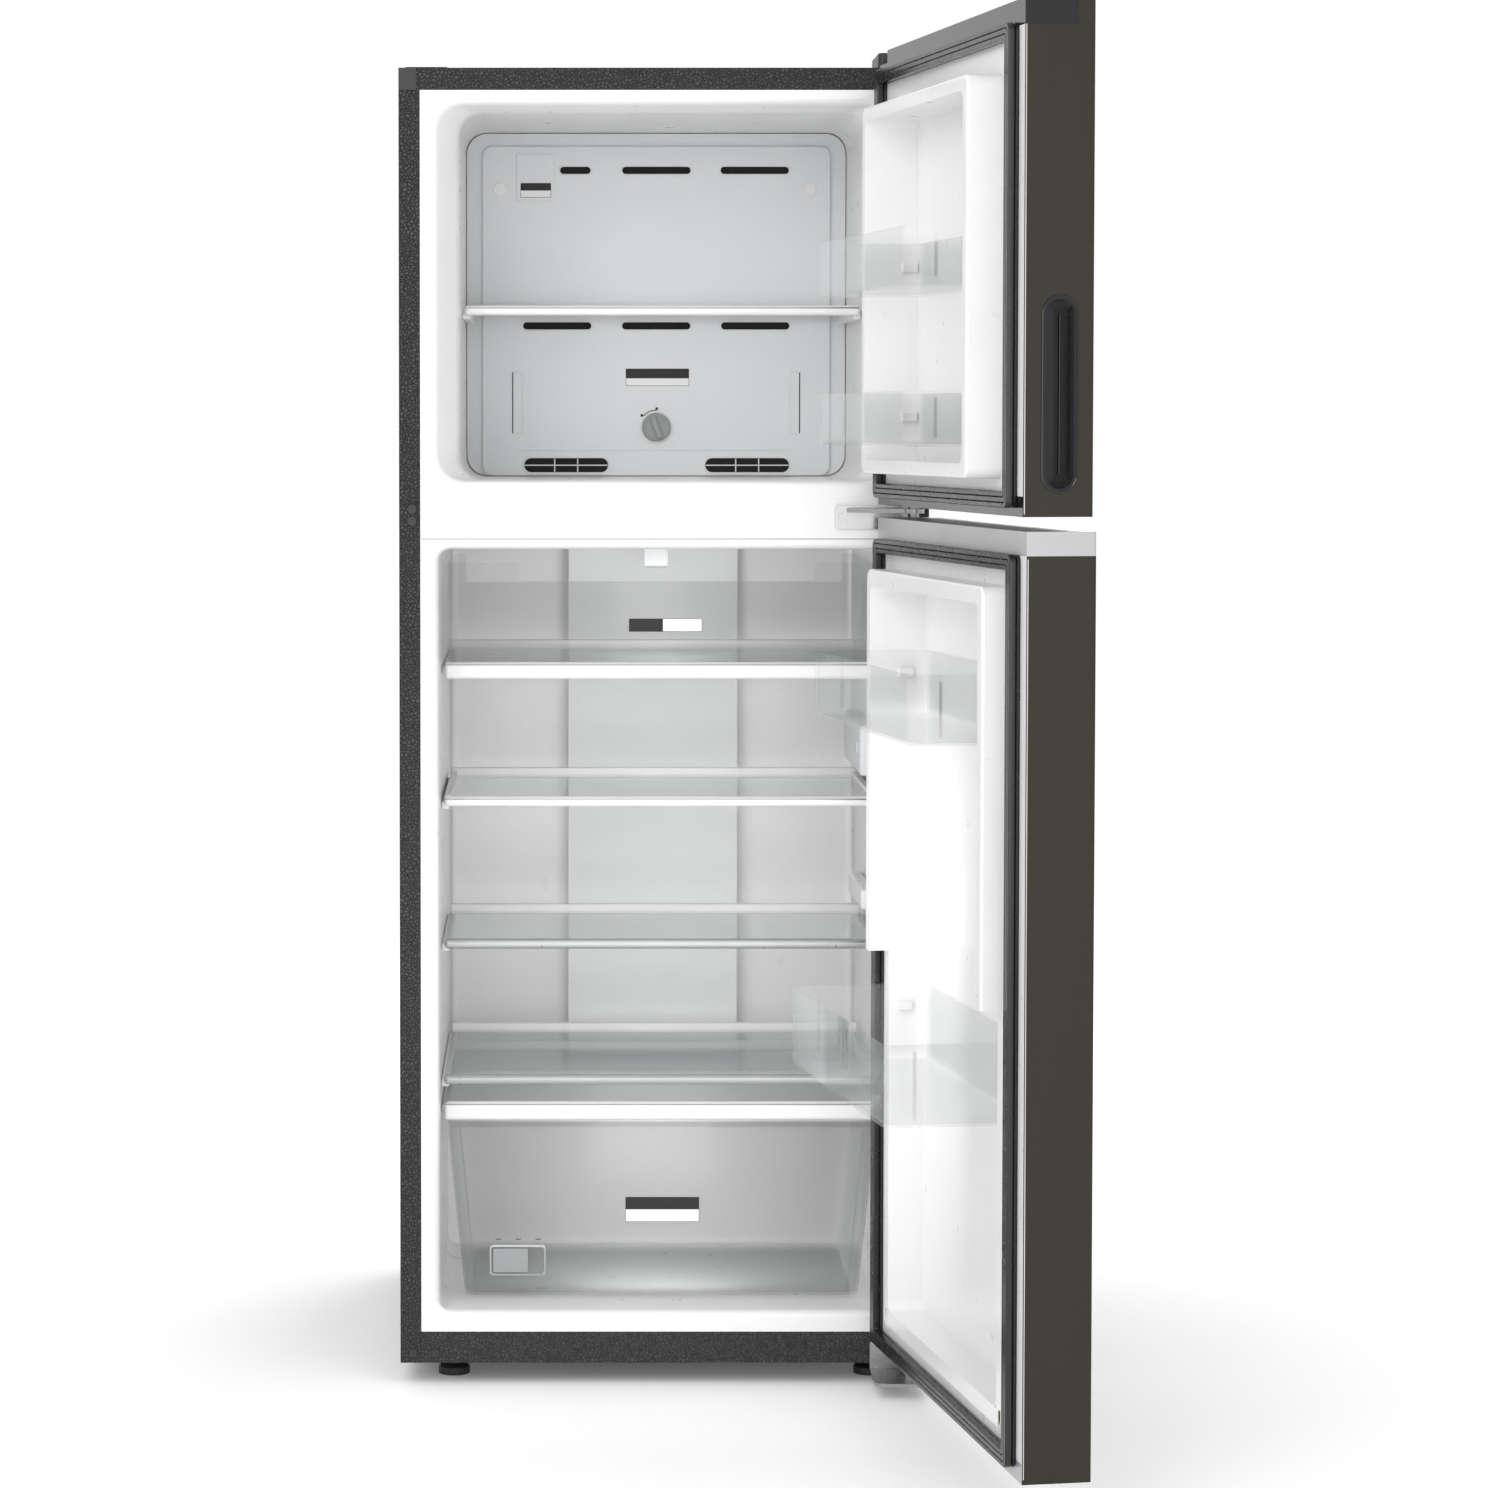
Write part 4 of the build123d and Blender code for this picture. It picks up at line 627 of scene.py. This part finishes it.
def glass_shelf(node, body, half, top, near, far, drop, front_finish, side_rails):
    """A glass plate with its trims, and with rails along its sides where it has them."""
    pane = bmesh.new()
    rounded_block(pane, (-half, near + 6, top - 4), (half, far - 6, top), 0.7)
    glass = piece(node + "_glass", pane, body, shelf_glass)
    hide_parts(node)
    edge = bmesh.new()
    rounded_block(edge, (-half, near, top - 4 - drop), (half, near + 12, top + 1.5), min(drop, 4.5), 4)
    piece(node + "_front_trim", edge, body, front_finish)
    line = bmesh.new()
    rounded_block(line, (-half + 1, near - 0.3, top - 2.2), (half - 1, near + 1, top - 0.6), 0.25, 2)
    piece(node + "_bright_line", line, body, bright_line)
    rear = bmesh.new()
    rounded_block(rear, (-half, far - 12, top - 4.2), (half, far, top + 8), 2)
    if side_rails:
        for side in (-1, 1):
            start, stop = sorted((side * half, side * (half - 9)))
            rounded_block(rear, (start, near + 9, top - 4.2), (stop, far - 6, top + 2.5), 1.5)
    piece(node + "_back_trim", rear, body, white_trim)


glass_shelf("freezer_shelf", "freezer_shelf", 228, 1232, 90, 335, 6, white_trim, False)
glass_shelf("fridge_shelf_upper", "fridge_shelf_upper", 251, 666, 68, 390, 6, white_trim, True)
glass_shelf("fridge_shelf_middle", "fridge_shelf_middle", 251, 501, 68, 359, 6, grey_trim, False)
glass_shelf("fridge_shelf_lower", "fridge_shelf_lower", 251, 347, 45, 409, 6, grey_trim, False)
glass_shelf("chiller_shelf", "cabinet", 251, 820, 88, 460, 14, white_trim, False)
glass_shelf("crisper_cover", "cabinet", 251, 314, 55, 470, 16, white_trim, False)

# ---------------------------------------------------------------------------
# Drawers: clear moulded styrene. The chiller drawer slides on the top shelf. The
# crisper, with sides that lean in, stands on the cabinet's floor under its lid and
# has a humidity slider in a grey frame.
clear_bin = clear_plastic("clear_bin_plastic", (0.42, 0.44, 0.45), (0.88, 0.90, 0.90), 0.04, 0.03, 0.45)
softened("chiller_tray", "chiller_drawer", "chiller_drawer", clear_bin, 1.2)


def tray(mesh, across, along, low, high, lean, wall, corner):
    """Open clear tray: up the outside, over the rim and down the inside."""
    inner = corner - wall / 2
    rings = []
    for inset, sides, station, radius in (
        (7, lean, low, corner), (1.6, lean, low + 1.6, corner), (0, lean, low + 7, corner),
        (0, 0, high - 7, corner), (0, 0, high - 6, corner), (0, 0, high - 1, corner), (0.8, 0, high, corner),
        (wall - 0.8, 0, high, inner), (wall, 0, high - 1, inner), (wall, lean, low + 7, inner),
        (wall + 1.6, lean, low + wall + 1.6, inner), (wall + 7, lean, low + wall, inner),
    ):
        span = (across[0] + sides + inset, across[1] - sides - inset)
        rings.append((span, (along[0] + inset, along[1] - inset), station, radius))
    stack(mesh, rings, Matrix.Identity(4), True, True, 5)


crisper = bmesh.new()
tray(crisper, (-248, 248), (59.5, 360), 88.2, 292, 20, 2.5, 9)
crisper_body = piece("crisper_tray", crisper, "crisper_drawer", clear_bin)
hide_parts("crisper_drawer")
ribs = bmesh.new()
rib_size = (1.6, 1.2, 192)
for side in (-1, 1):
    for inset in (0, 12):
        foot, head = side * (226 - inset), side * (245 - inset)
        slant = Matrix.Rotation(math.atan2(head - foot, rib_size[2]), 4, "Y")
        size = Matrix.Diagonal((*(Vector(rib_size) * MM), 1))
        rib = Matrix.Translation(spot((foot + head) / 2, 58.9, 188)) @ slant @ size
        made = bmesh.ops.create_cube(ribs, size=1, matrix=rib)["verts"]
        bmesh.ops.bevel(
            ribs, geom=list({e for v in made for e in v.link_edges}), affect="EDGES", offset=0.3 * MM,
            segments=2, profile=0.5, material=-1,
        )
rounded_block(ribs, (-240, 58.2, 286), (240, 60.5, 291), 1)
piece("crisper_ribs", ribs, "crisper_drawer", clear_bin)
plate("crisper_plate", "crisper_drawer", (-42, 175.5), (43.2, 204.3), 59.2, 0.5, False)
plate("chiller_plate", "chiller_drawer", (-37.8, 856.7), (46.9, 871.8), 94.9, 0.465, True)
dress(grey_plastic, "humidity_slider")
humidity_frame = bmesh.new()
stack(humidity_frame, (
    ((-199.5, -133.5), (112.5, 149.5), 59.4, 5),
    ((-199.0, -134.0), (113.0, 149.0), 57.0, 4.5),
    ((-196.8, -136.0), (115.4, 146.6), 56.6, 3.5),
    ((-196.4, -135.8), (115.8, 146.2), 59.4, 2.5),
), upright, False, False, 5)
piece("humidity_frame", humidity_frame, "crisper_drawer", grey_trim)
ticks = bmesh.new()
for x in (-189, -166, -143):
    rounded_block(ticks, (x - 3, 58.85, 154.6), (x + 3, 59.2, 155.6), 0.1, 1)
piece("humidity_marks", ticks, "crisper_drawer", print_dark)

# ---------------------------------------------------------------------------
# Hinges: zinc-plated steel plates, the middle one polished by its plating, with
# pan-head screws.
zinc = rolled_metal("bright_zinc", (0.28, 0.28, 0.28), (0.40, 0.40, 0.40), 0.26, (1, 1, 3), 30.0)
dress(zinc, "hinge_screws")
softened("pressed_centre_hinge", "center_hinge", "cabinet", zinc, 0.6)
softened("pressed_bottom_hinge", "bottom_hinge", "cabinet", zinc, 0.6)

# ---------------------------------------------------------------------------
# Doors: a bronze-black stainless skin folded over the face and both edges. A bright
# metal strip along each free edge's fold is a painted highlight. Plastic caps close
# the skin's ends, and a formed white pan with a ribbed magnetic gasket closes it
# inside. The freezer door's free edge holds a finger pocket.


def swing_of(door):
    """How a door stands when stored, as the turn from shut to open about its hinge pins."""
    joint = next(j for j in frame["joints"] if j["child"] == door)
    pins = Matrix.Translation(Vector(joint["pos_m"]))
    return pins @ Matrix.Rotation(math.radians(-joint["range_deg"][0]), 4, "Z") @ pins.inverted()


opened = {door: swing_of(door) for door in ("freezer_door", "fridge_door")}
door_steel = Finish("bronze_black_stainless", Metallic=0.55, Anisotropic=0.3)
brushing = door_steel.noise(900, 2, (1, 1, 0.01))
bands = door_steel.noise(6, 2, (1, 1, 0.05))
door_steel.shade(brushing * 0.6 + bands * 0.4, (0.022, 0.019, 0.0128), (0.034, 0.030, 0.0215))
door_steel.feed("Roughness", 0.36 + brushing * 0.12)
door_steel.relief(brushing, 0.00002)
dress(door_steel, "freezer_door_skin", "fridge_door_skin")
for door in opened:
    softened(door + "_pan", door + "_liner", door, white_liner, 3)
gloss_black = moulded(
    "gloss_black_plastic", (0.004, 0.004, 0.004), (0.007, 0.007, 0.007), 0.12, grain=0.00001
)
dress(gloss_black, "handle_pocket")
softened("freezer_end_caps", "freezer_door_caps", "freezer_door", gloss_black, 1)
sideways = Matrix(((0, 0, 1, 0), (1, 0, 0, 0), (0, 1, 0, 0), (0, 0, 0, 1)))
bezel = bmesh.new()
stack(bezel, (
    ((-67.5, -29.5), (1029.5, 1223.5), -297.6, 18.8),
    ((-67.0, -30.0), (1030, 1223), -298.8, 18.4),
    ((-66.0, -31.0), (1031, 1222), -299.1, 17.4),
    ((-65.0, -32.0), (1032, 1221), -298.6, 16.4),
    ((-64.6, -32.4), (1032.4, 1220.6), -295, 16.0),
), sideways, False, False, 10)
rounded_block(bezel, (-297, -49.3, 1048), (-292, -47.7, 1205), 0.7)
piece("handle_bezel", bezel, "freezer_door", gloss_black, opened["freezer_door"])
silver_trim = moulded("silver_trim", (0.42, 0.42, 0.43), (0.52, 0.52, 0.53), 0.38, scale=500.0, Metallic=0.5)
softened("fridge_end_caps", "fridge_door_caps", "fridge_door", silver_trim, 1)
gasket_rubber = moulded(
    "gasket_rubber", (0.006, 0.006, 0.006), (0.012, 0.012, 0.012), 0.26, grain=0.000008, scale=300.0
)
# Bright metal strip on each door's free-edge fold: a painted highlight.
edge_highlight_metal = rolled_metal("painted_edge_highlight", (0.5, 0.49, 0.46), (0.7, 0.69, 0.66), 0.3, (1, 1, 0.05), 80.0)
for door, low, high in (("freezer_door", 1015.05, 1489.1), ("fridge_door", 64, 969.35)):
    hem = bmesh.new()
    rounded_block(hem, (-298.15, -13.9, low - 6), (-297.5, -12.9, high - 4), 0.14, 2)
    piece(door + "_hem", hem, door, edge_highlight_metal, opened[door])
    seal = bmesh.new()
    rings = []
    for inset, y, radius in (
        (0.6, -11.9, 8), (0, -10.6, 8.2), (0, -8.6, 8.2), (1.4, -7.6, 7.5), (0, -6.6, 8.2),
        (0, -1.6, 8.2), (0.8, -0.4, 8), (4.4, -0.4, 6), (5.2, -1.8, 5.6), (6.0, -0.4, 5.2),
        (10, -0.4, 4), (10.8, -1.8, 3.8), (11.6, -0.4, 3.6), (15.2, -0.4, 3), (16, -1.6, 2.8),
        (16, -6.6, 2.8), (14.6, -7.6, 3), (16, -8.6, 2.8), (16, -10.6, 2.8), (15.4, -11.9, 3),
        (0.6, -11.9, 8),
    ):
        rings.append(((-278 + inset, 278 - inset), (low + inset, high - inset), y, radius))
    stack(seal, rings, upright, False, False, 5)
    gasket = piece(door + "_seal", seal, door, gasket_rubber, opened[door])
    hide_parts(door + "_gasket")

# ---------------------------------------------------------------------------
# Door bins: clear moulded trays hung on the door liner's lugs, open at the top, with
# a rolled rim. The low one keeps bottles apart with a sliding retainer.
softened("retainer_fork", "bottle_retainer", "bottle_retainer", clear_bin, 0.8)
for node, half, low, high, reach, rear in (
    ("freezer_bin_upper", 200, 1235, 1294, 83, -33), ("freezer_bin_lower", 200, 1075, 1130, 83, -33),
    ("fridge_bin_upper", 212, 776, 848, 83, -46), ("fridge_bin_lower", 212, 393, 478, 108, -46),
):
    bin_mesh = bmesh.new()
    tray(bin_mesh, (-half, half), (rear, reach), low, high, 3, 2.4, 12)
    for side in (-1, 1):
        near, far = sorted((side * (half - 4.5), side * half))
        rounded_block(bin_mesh, (near, reach - 34, low + 9), (far, reach - 31.5, high - 7), 0.5)
    door = node.split("_")[0] + "_door"
    made = piece(node + "_tray", bin_mesh, node, clear_bin, opened[door])
    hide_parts(node)

# ---------------------------------------------------------------------------
# Studio: a pale floor, a white surround, three large soft lights round the object and
# four small ones inside its compartments.
floor_mesh = bmesh.new()
bmesh.ops.create_grid(floor_mesh, x_segments=1, y_segments=1, size=40)
floor_data = bpy.data.meshes.new("floor")
floor_mesh.to_mesh(floor_data)
floor_mesh.free()
floor = bpy.data.objects.new("floor", floor_data)
bpy.context.scene.collection.objects.link(floor)
floor_paint = Finish("pale_floor", Roughness=0.9, Emission_Color=(1, 1, 1, 1), Emission_Strength=0.07)
floor_paint.shade(floor_paint.noise(3, 2), (0.955, 0.955, 0.955), (0.975, 0.975, 0.975))
floor_data.materials.append(floor_paint.material)

world = bpy.data.worlds.new("studio")
world.use_nodes = True
world.node_tree.nodes["Background"].inputs["Color"].default_value = (1, 1, 1, 1)
world.node_tree.nodes["Background"].inputs["Strength"].default_value = 1.0
bpy.context.scene.world = world
for name, stand_at, aim, size, power in (
    ("key_light", (-1.6, -3.6, 2.6), (0, 0.2, 0.8), 1.8, 34),
    ("fill_light", (0.2, -4.2, 0.9), (0, 0.3, 0.7), 2.2, 26),
    ("rear_light", (1.5, 3.5, 2.5), (0, 0, 0.8), 2.0, 40),
    ("freezer_light", (-0.05, -0.25, 1.25), (-0.05, 0.3, 1.25), 0.3, 0.12),
    ("fridge_light", (-0.05, -0.3, 0.52), (-0.05, 0.3, 0.5), 0.45, 0.85),
    ("chiller_light", (-0.05, 0.13, 0.88), (-0.05, 0.5, 0.86), 0.1, 0.3),
    ("crisper_light", (-0.05, 0.09, 0.2), (-0.05, 0.5, 0.2), 0.16, 0.3),
):
    lamp = bpy.data.lights.new(name, "AREA")
    lamp.size = size
    lamp.energy = power
    holder = bpy.data.objects.new(name, lamp)
    holder.location = stand_at
    holder.rotation_euler = (Vector(aim) - Vector(stand_at)).to_track_quat("-Z", "Y").to_euler()
    bpy.context.scene.collection.objects.link(holder)
bpy.context.scene.view_settings.view_transform = "Standard"

pitch_down = 2.5179
camera = bpy.data.cameras.new("camera")
camera.lens = 95.708
camera.sensor_width = 36
camera.shift_x = 0.12975
camera.shift_y = -0.10
camera.clip_end = 200
camera_holder = bpy.data.objects.new("camera", camera)
camera_holder.location = (-0.18101, -4.47854, 1.10005)
camera_holder.rotation_euler = (math.radians(90 - pitch_down), 0, 0)
bpy.context.scene.collection.objects.link(camera_holder)
bpy.context.scene.camera = camera_holder
